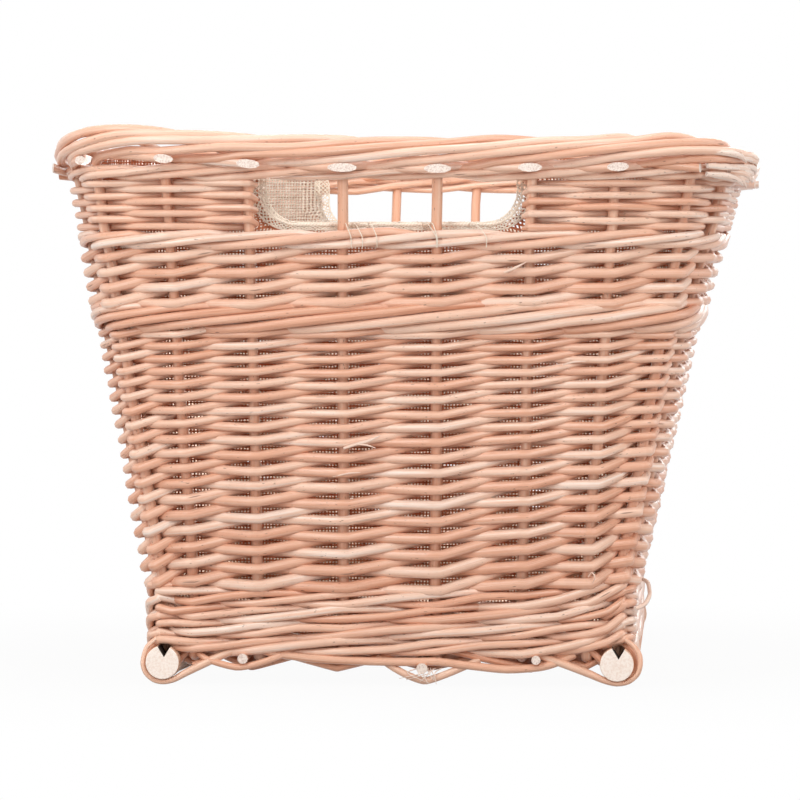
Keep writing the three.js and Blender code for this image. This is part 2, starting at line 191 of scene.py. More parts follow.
def place_piece(mesh, finishes, slot, *stands_for):
    """Gives a mesh its materials and puts it on the frame in place of CAD nodes."""
    piece = in_scene(mesh)
    for finish in finishes:
        mesh.materials.append(finish)
    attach(piece, "root")
    if stands_for:
        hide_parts(*stands_for)
    return piece


# %% [markdown]
# ## A rod
#
# A willow rod is a long taper. It could be a cylinder bent by a curve modifier, or a Blender curve with a
# bevel, but a basket has hundreds, and each needs its own colour and a grain that runs along it. So the
# rods of a piece are drawn as bare edges in one mesh, with the thickness and the tone kept on their points.
# A geometry-nodes modifier then sweeps a circle along all of them at once, and writes down how far along
# and how far round each new point is. The material reads these numbers later.

# %% Sweep a circle along bare edges
@functools.cache
def sweep_nodes(sides):
    group = bpy.data.node_groups.new(f"rod_of_{sides}_sides", "GeometryNodeTree")
    for way in ("INPUT", "OUTPUT"):
        group.interface.new_socket("Geometry", in_out=way, socket_type="NodeSocketGeometry")

    def node(kind, **values):
        made = group.nodes.new(kind)
        for name, value in values.items():
            made.inputs[name.replace("_", " ")].default_value = value
        return made

    def remember(geometry, name, output):
        store = node("GeometryNodeStoreNamedAttribute", Name=name)
        group.links.new(geometry, store.inputs["Geometry"])
        group.links.new(node("GeometryNodeSplineParameter").outputs[output], store.inputs["Value"])
        return store.outputs["Geometry"]

    lines = node("GeometryNodeMeshToCurve")
    group.links.new(node("NodeGroupInput").outputs[0], lines.inputs["Mesh"])
    circle = node("GeometryNodeCurvePrimitiveCircle", Resolution=sides, Radius=1.0)
    sweep = node("GeometryNodeCurveToMesh", Fill_Caps=True)
    group.links.new(remember(lines.outputs["Curve"], "along", "Length"), sweep.inputs["Curve"])
    group.links.new(remember(circle.outputs["Curve"], "around", "Factor"), sweep.inputs["Profile Curve"])
    thick = node("GeometryNodeInputNamedAttribute", Name="thick")
    group.links.new(thick.outputs["Attribute"], sweep.inputs["Scale"])
    group.links.new(sweep.outputs["Mesh"], node("NodeGroupOutput").inputs[0])
    return group


class Rods:
    """The rods of one piece, gathered as bare edges and then swept round."""

    def __init__(self, sides=8):
        self.sides = sides
        self.lines = bmesh.new()
        self.thick = self.lines.verts.layers.float.new("thick")
        self.tone = self.lines.verts.layers.float.new("tone")
        self.count = 0

    def add(self, places, thick, tone=None):
        tone = chance.random() if tone is None else tone
        made = []
        for place, radius in zip(places, np.broadcast_to(thick, len(places))):
            point = self.lines.verts.new(place)
            point[self.thick] = radius
            point[self.tone] = tone
            made.append(point)
        for ends in zip(made, made[1:]):
            self.lines.edges.new(ends)
        self.count += 1

    def add_on_wall(self, path, tone=None):
        """Adds a rod from rows of station, height, distance out and radius."""
        self.add(wall_points(*path[:, :3].T), path[:, 3], tone)

    def mesh(self, name):
        holder = in_scene(finished_mesh(self.lines, name + "_lines"))
        holder.modifiers.new("sweep", "NODES").node_group = sweep_nodes(self.sides)
        swept = modified(holder)
        swept.name = name
        for face in swept.polygons:
            face.use_smooth = len(face.vertices) <= 4
            face.material_index = 0 if face.use_smooth else 1
        return swept


# %% [markdown]
# ## Colour and grain
#
# Shader maths reads better as Python than as a list of nodes. A Channel is one output of a node, and adding
# or multiplying channels adds the Math nodes. A Finish is a material being built, or the world, and its add
# method makes every other kind of node.

# %% Arithmetic on shader sockets
class Channel:
    def __init__(self, finish, socket):
        self.finish = finish
        self.socket = socket

    def math(self, operation, *others):
        return self.finish.add("ShaderNodeMath", {"operation": operation}, [self, *others])

    def __add__(self, other):
        return self.math("ADD", other)

    def __mul__(self, other):
        return self.math("MULTIPLY", other)

    def __sub__(self, other):
        return self.math("SUBTRACT", other)

    def __rsub__(self, other):
        return self.finish.add("ShaderNodeMath", {"operation": "SUBTRACT"}, [other, self])

    __radd__ = __add__
    __rmul__ = __mul__

    def between(self, low, high):
        """0 below low and 1 above high, with an even slope between."""
        return self.finish.add("ShaderNodeMapRange", {}, {"Value": self, "From Min": low, "From Max": high})

    def beside(self, output):
        """Another output of the same node."""
        return Channel(self.finish, self.socket.node.outputs[output])


# %% A finish in the making
class Finish:
    def __init__(self, name, kinds=bpy.data.materials):
        self.owner = kinds.new(name)
        self.owner.use_nodes = True
        self.tree = self.owner.node_tree
        self.output = next(node for node in self.tree.nodes if "Output" in node.name)
        self.surface = self.output.inputs["Surface"].links[0].from_node

    def add(self, kind, settings, inputs, output=0):
        node = self.tree.nodes.new(kind)
        for key, value in settings.items():
            if key == "stops":
                ramp = node.color_ramp.elements
                while len(ramp) < len(value):
                    ramp.new(0.5)
                for element, (position, colour) in zip(ramp, value):
                    element.position = position
                    element.color = (*colour, 1)
            else:
                setattr(node, key, value)
        for key, value in inputs.items() if isinstance(inputs, dict) else enumerate(inputs):
            self.feed(node.inputs[key], value)
        return Channel(self, node.outputs[output])

    def feed(self, socket, value):
        if isinstance(value, Channel):
            self.tree.links.new(value.socket, socket)
        else:
            socket.default_value = value

    def set(self, **values):
        for name, value in values.items():
            self.feed(self.surface.inputs[name.replace("_", " ")], value)

    def attribute(self, name):
        return self.add("ShaderNodeAttribute", {"attribute_name": name}, {}, "Fac")

    def object_place(self):
        return self.add("ShaderNodeTexCoord", {}, {}, "Object")

    def vector(self, x, y, z):
        return self.add("ShaderNodeCombineXYZ", {}, [x, y, z])

    def noise(self, place, scale=1.0, detail=2.0):
        return self.add("ShaderNodeTexNoise", {}, {"Vector": place, "Scale": scale, "Detail": detail})

    def ramp(self, value, *stops):
        return self.add("ShaderNodeValToRGB", {"stops": stops}, [value])

    def mix(self, share, first, second):
        first, second = (v if isinstance(v, Channel) else (*v, 1) for v in (first, second))
        return self.add("ShaderNodeMix", {"data_type": "RGBA"}, {0: share, 6: first, 7: second}, 2)

    def bump(self, height, strength, reach):
        return self.add("ShaderNodeBump", {}, {"Height": height, "Strength": strength, "Distance": reach})


# %% [markdown]
# Steamed willow keeps a pink and buff skin. Every rod has its own tone, pale to tan, with streaks that run
# along it, small dark flecks where the bark clung, and a bud scar now and then. The coordinates of these
# patterns follow the rod: how far along it, and round it as a point on a circle, so that no seam shows.

# %% Willow
def willow(name, tones, stain=0.5):
    finish = Finish(name)
    along, around, tone = (finish.attribute(word) for word in ("along", "around", "tone"))
    turn = around * (2 * math.pi)
    across, upward = turn.math("COSINE"), turn.math("SINE")

    def on_rod(stretch, turns):
        return finish.vector(along * stretch + tone * 57, across * turns, upward * turns)

    streaks = finish.noise(on_rod(11, 1.6), detail=4)
    blotches = finish.noise(on_rod(28, 0.9), detail=3)
    fine = finish.noise(on_rod(70, 7), detail=3)
    shade = tone * 0.34 + streaks * 0.62 + blotches * 0.3 + fine * 0.14 - 0.19
    colour = finish.ramp(shade, *tones)
    flecks = finish.noise(on_rod(260, 3.4), detail=1).between(0.69, 0.75)
    flecks = flecks * finish.noise(on_rod(17, 0.7), detail=0).between(0.42, 0.6)
    bark = finish.noise(on_rod(13, 0.8), detail=5).between(0.66, 0.76) * stain
    scar = finish.add("ShaderNodeTexVoronoi", {}, {"Vector": on_rod(19, 0.55), "Scale": 1.0}, "Distance")
    scar = 1 - scar.between(0.05, 0.1)
    colour = finish.mix(bark, colour, (0.36, 0.22, 0.16))
    colour = finish.mix(flecks * 0.75, colour, (0.16, 0.07, 0.045))
    colour = finish.mix(scar * 0.7, colour, (0.2, 0.085, 0.05))
    skin = finish.bump(fine * 0.5 + streaks + blotches, 0.35, 0.0006)
    finish.set(Base_Color=colour, Roughness=0.3 + fine * 0.2, Normal=skin)
    finish.set(Coat_Weight=0.25, Coat_Roughness=0.25, Specular_IOR_Level=0.45)
    return finish.owner


BUFF = (
    (0.12, (0.52, 0.20, 0.105)),
    (0.38, (0.70, 0.36, 0.235)),
    (0.62, (0.79, 0.515, 0.385)),
    (0.88, (0.85, 0.75, 0.68)),
)
TAN = tuple((at, tuple(c * k for c, k in zip(colour, (1.0, 0.96, 0.92)))) for at, colour in BUFF)
weaver_skin = willow("willow_weavers", BUFF)
stake_skin = willow("willow_stakes", TAN, stain=0.3)
base_skin = willow("willow_base", TAN, stain=0.7)
print("finishes:", weaver_skin.name, stake_skin.name, base_skin.name)

# %% [markdown]
# Where a rod or pole is cut, the pith shows: pale, matt and speckled. The notch of a pole gets the same
# pattern in near black, as painted shade for the deep shadow in it.

# %% Cut ends
def cut_wood(name, colour, dark):
    finish = Finish(name)
    place = finish.object_place()
    specks = finish.noise(place, scale=900)
    patches = finish.noise(place, scale=160)
    mixed = finish.mix(specks.between(0.42, 0.7) * 0.55 + patches * 0.25, colour, dark)
    finish.set(Base_Color=mixed, Roughness=0.85, Normal=finish.bump(specks, 0.4, 0.0004))
    return finish.owner


cut_end = cut_wood("cut_willow", (0.91, 0.80, 0.72), (0.5, 0.33, 0.27))
pole_end = cut_wood("cut_pole", (0.95, 0.86, 0.79), (0.80, 0.63, 0.53))
# Painted shade: the notch's walls are near black to stand for the shadow deep inside it.
notch_painted_shade = cut_wood("pole_notch_painted_shade", (0.05, 0.025, 0.02), (0.02, 0.01, 0.008))
print("finishes:", cut_end.name, pole_end.name, notch_painted_shade.name)

# %% [markdown]
# ## Stakes
#
# A stake is a stout rod. The end stakes lie in the base beside a stick and turn up sharply at the wall. The
# side stakes stand in holes in the poles, and a corner stake's foot is whittled to a point that sits in the
# notch of a pole. Each is its own piece, drawn with twelve sides because it is seen bare in the hand holes.

# %% Set up the stakes
STAKE_FOOT_RADIUS = 0.0039
STAKE_TIP_RADIUS = 0.0035
STAKE_WOBBLE = 0.00035
UNDER_BORDER = 0.012  # a stake's rod ends this far below the top of its solid
LEG_LENGTH = 0.08
ELBOW = 0.007
POINT_RADIUS = 0.0012
POINT_SHIFT = 0.008
POINT_LENGTH = 0.0065
stick_height = sum(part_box("base_stick_1"), Vector()).z / 2
print("sticks lie at", round(stick_height, 4))


def stake_line(index, name):
    """Places and radii from the stake's foot up into the border."""
    in_end_wall = name.startswith(("front_stake", "rear_stake"))
    inward = 1 if name.startswith("front") else -1
    start = stick_height if in_end_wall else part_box(name)[0].z
    heights = np.concatenate([[start], np.linspace(knee, stake_top - UNDER_BORDER, 16)])
    wobble = np.array([[chance.gauss(0, STAKE_WOBBLE), chance.gauss(0, STAKE_WOBBLE), 0] for _ in heights])
    wobble[:2] = 0
    places = wall_points(index, heights, 0) + wobble
    radii = np.linspace(STAKE_FOOT_RADIUS, STAKE_TIP_RADIUS, len(heights))
    if in_end_wall:
        x, y = places[0][:2]
        leg = [(x, y + inward * reach, stick_height) for reach in (LEG_LENGTH, LEG_LENGTH / 2)]
        bend = [
            (x, y + inward * ELBOW * (1 - math.sin(a)), stick_height + ELBOW * (1 - math.cos(a)))
            for a in np.linspace(0, math.pi / 2, 5)
        ]
        places = np.vstack([leg, bend, places[1:]])
        radii = np.concatenate([np.full(len(leg + bend), STAKE_FOOT_RADIUS), radii[1:]])
    elif "corner" in name:
        point = places[:1] + [[0, inward * POINT_SHIFT, 0]]
        places = np.vstack([point, point + [[0, 0, POINT_LENGTH]], places[1:]])
        radii = np.concatenate([[POINT_RADIUS], radii])
    return places, radii


# %% Place the stakes
for index, name in enumerate(STAKE_NAMES):
    rods = Rods(sides=12)
    rods.add(*stake_line(index, name), tone=0.25 + 0.5 * chance.random())
    stake = place_piece(rods.mesh(name + "_rod"), [stake_skin, cut_end], "willow", name)
print("last stake:", stake.name, "with", len(stake.data.polygons), "faces")

# %% [markdown]
# ## Randing
#
# In French randing a rod is laid in at every stake, butt first, and each goes in front of one stake and
# behind the next. All climb together, one row to a stake, so every row is made of all the rods. The rods
# taper as they climb, and the rows get finer. A rod behind a stake rides up against the one in front above
# it, which leaves a chink below it where the hessian shows. The rows sag a little where the middle of an
# end wall was beaten down hardest.

# %% How a weaver lies
LAY = 0.93  # rods press into each other, so they lie a little closer to the stake than their radii say
UP_SHAKE = 0.0004  # how unevenly the hand lays a rod, up or down
OUT_SHAKE = 0.0002
UNEVEN = (0.94, 1.06)  # how much thinner or thicker one weaver is than the next
BUTT = 0.13  # of the way to the stake before: where a rod's butt shows
# How high or low the first rows lie at each stake of an end wall, from its left corner's neighbour on.
END_WALL_LEVELS = {0: 0.0032, 1: 0.0002, 2: -0.0014, 3: -0.0024, 4: 0.0024, 5: 0.003, 6: 0.0065, 7: 0.004}


def beaten_level(station):
    side_wall = 0.0015 * math.sin(station * 2.3)
    return END_WALL_LEVELS.get(station, END_WALL_LEVELS.get(21 - station, side_wall))


def out_from_stake(height, radius):
    share = (height - knee) / (stake_top - knee)
    return LAY * (STAKE_FOOT_RADIUS + (STAKE_TIP_RADIUS - STAKE_FOOT_RADIUS) * share + radius)


def weave_piece(rods, name, *stands_for):
    """The rods of a piece that is woven of weavers."""
    place_piece(rods.mesh(name), [weaver_skin, cut_end], "willow", *stands_for)


print("a rod is", round(out_from_stake(knee, STAKE_TIP_RADIUS), 4), "from a stake at the knee")


# %% Lay in the randing
def randing(band, rows, first_row, thick, fineness, lift, level, piece):
    """rows climb the node's band from first_row. fineness is the last row's height over the first's."""
    low, high = (corner.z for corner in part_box(band))
    tallest = 2 * (high - low) / (rows * (1 + fineness))
    rods = Rods()
    for start in range(STAKES):
        knots = []
        wide = chance.uniform(*UNEVEN)
        for row in range(rows + 2):
            climbed = row + first_row
            height = low + tallest * (climbed - (1 - fineness) * climbed * abs(climbed) / (2 * rows))
            share = min(1, max(0, climbed / rows))
            radius = (thick[0] + (thick[1] - thick[0]) * share) * wide
            behind = row % 2 == 0
            height += level((start + row) % STAKES) * (1 - share)
            height += lift * tallest * (1 - (1 - fineness) * share) if behind else 0
            height += chance.gauss(0, UP_SHAKE)
            out = out_from_stake(height, radius) + chance.gauss(0, OUT_SHAKE)
            knots.append((start + row, height, -out if behind else out, radius))
        knots[0] = (start - BUTT, *knots[0][1:])
        rods.add_on_wall(kinked(knots))
    print(band, rods.count, "rods through", rows, "rows")
    weave_piece(rods, piece, band)


randing("lower_siding", 35, -0.6, (0.0039, 0.0025), 0.66, 0.86, beaten_level, "lower_randing")
randing("upper_siding", 7, -1.1, (0.0036, 0.0031), 1.0, 0.82, lambda station: 0, "upper_randing")

# %% [markdown]
# ## Waling
#
# A wale binds the wall. Three or four rods work together: each in turn goes in front of two or three
# stakes, over the others, and behind one. A stroke therefore starts low, where the rod comes out from
# behind a stake, and rises to the right. One table of out and up for a stroke, repeated round the basket,
# is enough. At the foot the lowest rods lap over the edge of the base and climb over the ends of the poles.

# %% Work the wales
# A stroke's knots are half a stake apart, from the hidden one on. Each is a share of the full distance out,
# and a number of radii up from the middle.
STROKE_OF_TWO = ((-1.0, 0.0), (0.12, -1.45), (1.0, -1.0), (1.06, 0.0), (1.0, 1.0), (0.12, 1.45))
STROKE_OF_THREE = (
    (-1.0, 0.0), (0.2, -2.5), (1.0, -2.0), (1.2, -1.0), (1.3, 0.0), (1.2, 1.0), (1.0, 2.0), (0.2, 2.5)
)
ROD_STAKES = 24  # how many stakes one rod of a wale reaches past
POLE_STATIONS = (6.2, 14.8, 22.2, 30.8)
POLE_CLIMB = 0.0078
LAPPED_EDGE = 0.0205  # how low on the base's edge the foot's waling begins
WALE_SHAKE = 0.0003
CLIMBING_SHAKE = 0.0006  # added where the rods climb


def corner_climb(station):
    away = min(abs((station - pole + STAKES / 2) % STAKES - STAKES / 2) for pole in POLE_STATIONS)
    return POLE_CLIMB * math.exp(-(away**2) / 0.7)


def wale_row(rods, stroke, height, thick, first, climb):
    """One row of waling round the whole basket at a height, of strokes that follow each other."""
    period = len(stroke) // 2
    strands = period if STAKES % period == 0 else 1
    stations = STAKES if strands > 1 else STAKES * period
    for strand in range(strands):
        butt = first + strand
        while butt < first + strand + stations:
            length = min(round(ROD_STAKES / period) * period, first + strand + stations - butt)
            knots = []
            for step in range(2 * length + 1):
                out, up = stroke[step % len(stroke)]
                radius = thick * (1.1 - 0.22 * step / (2 * length))
                z = height + up * radius + climb * corner_climb(butt + step / 2)
                z += chance.gauss(0, WALE_SHAKE + CLIMBING_SHAKE * climb)
                knots.append((butt + step / 2, z, out * out_from_stake(height, radius), radius))
            rods.add_on_wall(supple(knots, straight=0.6, steps=(0, 0.14, 0.5, 0.86)))
            butt += length


def wale(band, rows, stroke, thick, piece, low=None, climb=0):
    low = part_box(band)[0].z if low is None else low
    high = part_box(band)[1].z
    rods = Rods()
    for row in range(rows):
        wale_row(rods, stroke, low + (high - low) * (row + 0.5) / rows, thick, row, climb)
    print(band, rods.count, "rods")
    weave_piece(rods, piece, band)


wale("upsett_wale", 4, STROKE_OF_TWO, 0.00288, "upsett_rods", low=LAPPED_EDGE, climb=1)
wale("middle_wale", 1, STROKE_OF_THREE, 0.0031, "middle_wale_rods")
wale("hand_hole_sill_wale", 1, STROKE_OF_TWO, 0.0029, "sill_wale_rods")
wale("top_wale", 1, STROKE_OF_TWO, 0.0025, "top_wale_rods")

# %% [markdown]
# ## Weaving beside the hand holes
#
# Between the hand holes the weavers can't run round the basket. Each run starts at one hole's edge, passes
# round a long side to the other hole, turns round the stake there and comes back as the next row. The turns
# show as small wraps on the stakes at the hole's edges. New rods are joined in halfway along the side.

# %% Weave to the hole's edge and back
HOLE_ROWS = 8
HOLE_WEAVER = 0.0025
TURN = 0.085  # of the way to the next stake: how far a turn reaches past the stake at the hole
TURN_RADIUS = 0.0017
HOLE_SHAKE = 0.0005


def hole_siding(band, first, last, piece):
    low, high = (corner.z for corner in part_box(band))
    pitch = (high - low) / HOLE_ROWS
    rods = Rods()
    knots = [(first - TURN, low + 0.1 * pitch, 0, TURN_RADIUS)]
    for row in range(HOLE_ROWS):
        rightward = row % 2 == 0
        stations = range(first, last + 1)
        for station in stations if rightward else reversed(stations):
            radius = HOLE_WEAVER * chance.uniform(*UNEVEN)
            height = low + (row + 0.5) * pitch + chance.gauss(0, HOLE_SHAKE)
            side = 1 if (station + row) % 2 == 0 else -1
            knots.append((station, height, side * out_from_stake(height, radius), radius))
            if side < 0 and abs(station - (first + last) / 2) <= 1:
                rods.add_on_wall(kinked(knots))
                knots = knots[-1:]
        knots.append((last + TURN if rightward else first - TURN, height + pitch * 0.5, 0, TURN_RADIUS))
    rods.add_on_wall(kinked(knots))
    print(band, rods.count, "rods")
    weave_piece(rods, piece, band)


hole_siding("left_hand_hole_siding", 20 - STAKES, 1, "left_hand_hole_rods")
hole_siding("right_hand_hole_siding", 4, 17, "right_hand_hole_rods")

# %% [markdown]
# ## The border
#
# The stakes' tops, bent over to the right one after another, close the rim. Each comes out in front past
# the next stake, rises across three more, goes over the top to the inside and down, and shows its tip again
# in front, low down, where it is trimmed at a slant. So a border is one path used thirty-two times, and the
# slanting cut is made with a bisecting plane that faces outwards. No real rim is even, so small tables say
# where this one rises, where it lies closer to the wall, and how far out its tips are trimmed.

# %% Measure the border
# Stakes to the right, height over the wale, distance out and radius, all but the first in millimetres.
BORDER_PATH = (
    (0, -5, 0, 3.26), (0.12, -1, 0.5, 3.26), (0.35, 0.8, 4, 3.2), (0.65, 3.1, 9.6, 3.1),
    (1.0, 5.8, 12.8, 3.05), (1.7, 10.2, 14.2, 3.0), (2.5, 15.4, 12.6, 3.0), (3.1, 19.0, 9, 3.0),
    (3.6, 20.8, 3.5, 2.9), (4.1, 19.4, -2.5, 2.9), (4.5, 13, -7, 2.8), (4.9, 5, -6.5, 2.8),
    (5.3, 0.2, -0.5, 2.9), (5.7, -1.4, 9.0, 3.0), (6.45, -1.8, 25.4, 3.0),
)
BORDER_PRESS = 0.83  # the rods of the border are beaten down on each other
BORDER_SHAKE = 0.0006
# Where the rim rises, where it lies closer to the wall and how far out its tips are cut, in millimetres.
RISE_AT = (0, 0.5, 1.5, 3, 5.2, 5.8, 6.4, 7, 9, 13, 15, 16.5, 20.5, 22, 23.5, 29.4, 30.3, 31, 31.6, 32)
RISE = (4.5, 3, -0.5, -2, 0, 0, -3.5, -7.5, -8.5, -6, 3, 0.5, 0.5, 4, 0, -3.5, -1, 6, 7, 4.5)
TUCK_AT = (0, 1, 5.5, 6, 14, 15, 16, 21, 22, 23, 29, 31, 32)
TUCK = (2.5, 0.5, 0, -0.5, 0, 2, 0.5, 0.5, 2, 2, 2.5, 4, 2.5)
TRIM_AT = (0, 7, 9.5, 14, 16, 21, 23, 29.5, 30.5, 32)
TRIM = (15.5, 15, 19, 19.5, 16, 16, 18.5, 18.5, 16.5, 15.5)
border_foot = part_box("top_wale")[1].z
print("the border starts at", round(border_foot, 4))


def round_rim(station, at, amounts):
    return np.interp(station % STAKES, at, amounts) / 1000


# %% Trim a tip
TIP_PAST = 0.2  # of the way to the next stake: where the tip is cut, past the last knot but one
TIP_REACH = 0.05  # only the last stretch of a rod is cut, in metres
CORNER_SLANT = 0.9  # how far a cut at a corner turns across the rod, or it would be very long
CORNER_SPREAD = 0.5


def trim_tip(mesh, cut_place, outward):
    """Cuts the tip of a swept rod off at a plane and fills the cut."""
    rod = bmesh.new()
    rod.from_mesh(mesh)
    along = rod.verts.layers.float["along"]
    end = max(v[along] for v in rod.verts)
    tip = [v for v in rod.verts if v[along] > end - TIP_REACH]
    beside = [part for v in tip for part in (*v.link_edges, *v.link_faces)]
    part = list(dict.fromkeys(tip + beside))  # each once, and always in the same order
    bmesh.ops.bisect_plane(rod, geom=part, plane_co=cut_place, plane_no=outward, clear_outer=True)
    rim = [e for e in rod.edges if e.is_boundary]
    for face in bmesh.ops.holes_fill(rod, edges=rim)["faces"]:
        face.material_index = 1
        face.smooth = False
    rod.to_mesh(mesh)
    rod.free()


def cut_plane(station, height):
    """Where a tip is cut and which way the cut faces. At a corner it turns across the rod."""
    near, far = wall_points([station, station], height, [0, round_rim(station, TRIM_AT, TRIM)])
    onward = wall_points(station + 0.1, height, 0)[0] - near
    from_corner = min((station % STAKES - corner) ** 2 for corner in CORNERS)
    across = CORNER_SLANT * math.exp(-from_corner / CORNER_SPREAD)
    facing = Vector(far - near).normalized() + across * Vector(onward).normalized()
    return Vector(far), facing.normalized()


# %% Roll the border
border = bmesh.new()


def add_to_border(mesh):
    border.from_mesh(mesh)
    bpy.data.meshes.remove(mesh)


for index in range(STAKES):
    knots = []
    for at, up, out, radius in BORDER_PATH:
        at += index
        z = border_foot + BORDER_PRESS * up / 1000 + round_rim(at, RISE_AT, RISE)
        z += chance.gauss(0, BORDER_SHAKE)
        tuck = round_rim(at, TUCK_AT, TUCK) * min(1, max(0, out) / 14)
        knots.append((at, z, out / 1000 - tuck + chance.gauss(0, 0.0003), radius / 1000))
    rods = Rods(sides=10)
    rods.add_on_wall(supple(knots, straight=0.1, steps=(0, 0.25, 0.5, 0.75)))
    swept = rods.mesh("border_rod")
    trim_tip(swept, *cut_plane(knots[-2][0] + TIP_PAST, knots[-2][1]))
    add_to_border(swept)
print("border:", len(border.faces), "faces")

# %% [markdown]
# Round the right-hand corner of the front the rods were bent too sharply, and their outer fibres have
# split. The fibres are short rods that fan out below the bend, each a little differently.

# %% Split the fibres of the corner
SPLITS = 16
splits = Rods(sides=6)
for _ in range(SPLITS):
    at = chance.uniform(6.0, 6.75)
    up = border_foot + chance.uniform(-0.008, 0.0085)
    fan = chance.uniform(0.2, 1.0)
    knots = [
        (at, up, 0.0145, 0.0018),
        (at + 0.22, up - 0.0006, 0.0168, 0.0026),
        (at + 0.42, up - 0.003 * fan, 0.017 + 0.002 * fan, 0.0019),
        (at + 0.58, up - 0.007 * fan, 0.0165 + 0.003 * fan, 0.0005),
    ]
    splits.add_on_wall(supple(knots, straight=0.7, steps=(0, 0.5)), tone=chance.uniform(0.9, 1.3))
add_to_border(splits.mesh("split_fibres"))
border_mesh = finished_mesh(border, "border_rods")
place_piece(border_mesh, [weaver_skin, cut_end], "willow", "rolled_border")
print("border with its split fibres:", len(border_mesh.polygons), "faces")

# %% [markdown]
# ## The base
#
# A snaking weaver goes over and under the sticks, round a pole and back, so that every second row passes
# over a stick. Near the ends it also takes in the legs of the stakes. The wraps under the poles are what
# the basket stands on. Each end is closed by a few stouter rods, which are seen whole from in front.

# %% Measure the base
ROW_PITCH = 0.006
WEAVER = 0.0026
WRAP = 0.0018
WRAP_PRESS = 0.0004
STICK = 0.004  # a stick's radius, for the weaver's way over or under it
SAME_GROUP = 0.02  # a leg this close to a stick is passed together with it
pole_low, pole_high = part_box("left_base_pole")
pole_x = (pole_low.x + pole_high.x) / 2
pole_radius = (pole_high.x - pole_low.x) / 2
pole_z = pole_high.z - pole_radius
base_low, base_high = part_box("base_weave")
stick_xs = [sum(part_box(f"base_stick_{i}"), Vector()).x / 2 for i in range(1, 5)]
leg_xs = [stake_centre(f"front_stake_{i}", knee)[0] for i in range(1, 7)]
leg_reach = abs(foot_ring[2][1]) - LEG_LENGTH
print("pole radius", round(pole_radius, 4), "legs reach in to", round(leg_reach, 3))


# %% What a weaver of the base goes round
def ribs_at(y):
    """What the weaver crosses between the poles, as groups of x that it passes on the same side."""
    groups = [[x] for x in stick_xs]
    if abs(y) < leg_reach:
        return groups
    lone = []
    for x in leg_xs:
        near = min(groups, key=lambda group: abs(group[0] - x))
        if abs(near[0] - x) < SAME_GROUP:
            near.append(x)
        else:
            lone.append([x])
    return sorted([sorted(group) for group in groups + lone])


def wrap_points(side, y_from, y_to, downward):
    """Half a turn round the outside of a pole, from its top to its bottom or back."""
    start = 90 if downward else -90
    reach = pole_radius + WRAP - WRAP_PRESS
    points = []
    for share in np.linspace(0, 1, 7):
        a = math.radians(start - 2 * start * share)
        x = side * (abs(pole_x) + reach * math.cos(a))
        points.append((x, y_from + (y_to - y_from) * share, pole_z + reach * math.sin(a), WRAP))
    return points


# %% Close the ends of the base
END_ROD_INSET = 0.003
END_ROD_BOW = 0.006  # how far the tips of an end rod bend back into the base
# The stout rods of each end, as seen from in front: across, height and radius of every bend, in mm.
END_RODS = (
    ((-157, 31, 1.6), (-163.5, 25, 1.7), (-166, 15, 1.8), (-164, 8, 1.8), (-158.5, 3.2, 1.8),
     (-152, 2.0, 1.9), (-145, 3.6, 2.1), (-137, 8, 2.5), (-125, 14, 2.8), (-111, 20.5, 2.8),
     (-98, 25, 2.7)),
    ((-129, 21, 2.2), (-121, 16.5, 2.3), (-103, 12, 2.4), (-90, 14, 2.4), (-75, 19, 2.4), (-64, 24, 2.3)),
    ((-90, 25, 2.6), (-80, 21.5, 2.8), (-58, 18.8, 2.9), (-41, 17.4, 2.9), (-11, 16.4, 2.9),
     (16, 16.1, 2.9), (33, 16.4, 2.8), (56, 13.6, 2.8), (79, 11.4, 2.8), (100, 12.7, 2.7),
     (111, 15.4, 2.7), (124, 21, 2.6)),
    ((-8, 18.8, 2.5), (3, 12, 2.6), (13, 6.9, 2.6), (23, 3.6, 2.6), (30, 5, 2.6), (40, 8.7, 2.6),
     (48, 12, 2.6), (60, 17, 2.5)),
    ((96, 22, 2.6), (110, 17.4, 2.8), (120, 14, 2.8), (134, 8.7, 2.7), (143.5, 4.6, 2.3),
     (152, 2.3, 1.9), (160, 3.6, 1.8), (166, 8.6, 1.8), (168, 15, 1.8), (167.5, 21.5, 1.8),
     (164, 27, 1.7), (158, 31.5, 1.6)),
)
rods = Rods()
for end in (-1, 1):
    for bends in END_RODS:
        path = supple(np.array(bends) / 1000, straight=0.2, steps=(0, 0.25, 0.5, 0.75))
        share = np.linspace(-1, 1, len(path))
        ys = end * (base_high.y - END_ROD_INSET - END_ROD_BOW * np.abs(share) ** 3)
        rods.add(np.column_stack([-end * path[:, 0], ys, path[:, 1]]), path[:, 2])
print("end rods:", rods.count)

# %% Weave the base
END_ROWS = 2  # how many rows the stout rods of the ends take the place of
row_count = int((base_high.y - base_low.y - 2 * WEAVER) / ROW_PITCH) - END_ROWS
knots = []
for row in range(row_count + 1):
    y = (row - row_count / 2) * ROW_PITCH
    groups = ribs_at(y)
    rightward = row % 2 == 0
    over = True
    for group in groups if rightward else groups[::-1]:
        over = not over
        for x in group if rightward else group[::-1]:
            z = stick_height + (1 if over else -1) * (STICK + WEAVER)
            knots.append((x + chance.gauss(0, 0.0005), y + chance.gauss(0, 0.0003), z, WEAVER))
    knots += wrap_points(1 if rightward else -1, y, y + ROW_PITCH, not over)
    if row % 3 == 2 or row == row_count:
        path = supple(knots, straight=0.35, steps=(0, 0.33, 0.67))
        rods.add(path[:, :3], path[:, 3])
        knots = knots[-1:]
place_piece(rods.mesh("base_rods"), [base_skin, cut_end], "base_willow", "base_weave")
print("base:", row_count + 1, "rows")

# %% [markdown]
# The sticks and poles are straight. A swept rod serves for the sticks. A pole is a bar with its saw-cut
# edges worn round, and a wedge cut from each end by a Boolean makes the notch for the corner stake's foot,
# its walls painted near black as shade.

# %% Sticks
STICK_RADII = (0.0035, 0.0040, 0.0038, 0.0031)
STICK_SHORT = (0, 0.013, 0, 0)
STICK_SAG = (0.001, 0.001, 0.007, 0.001)  # how far a stick's ends bend down

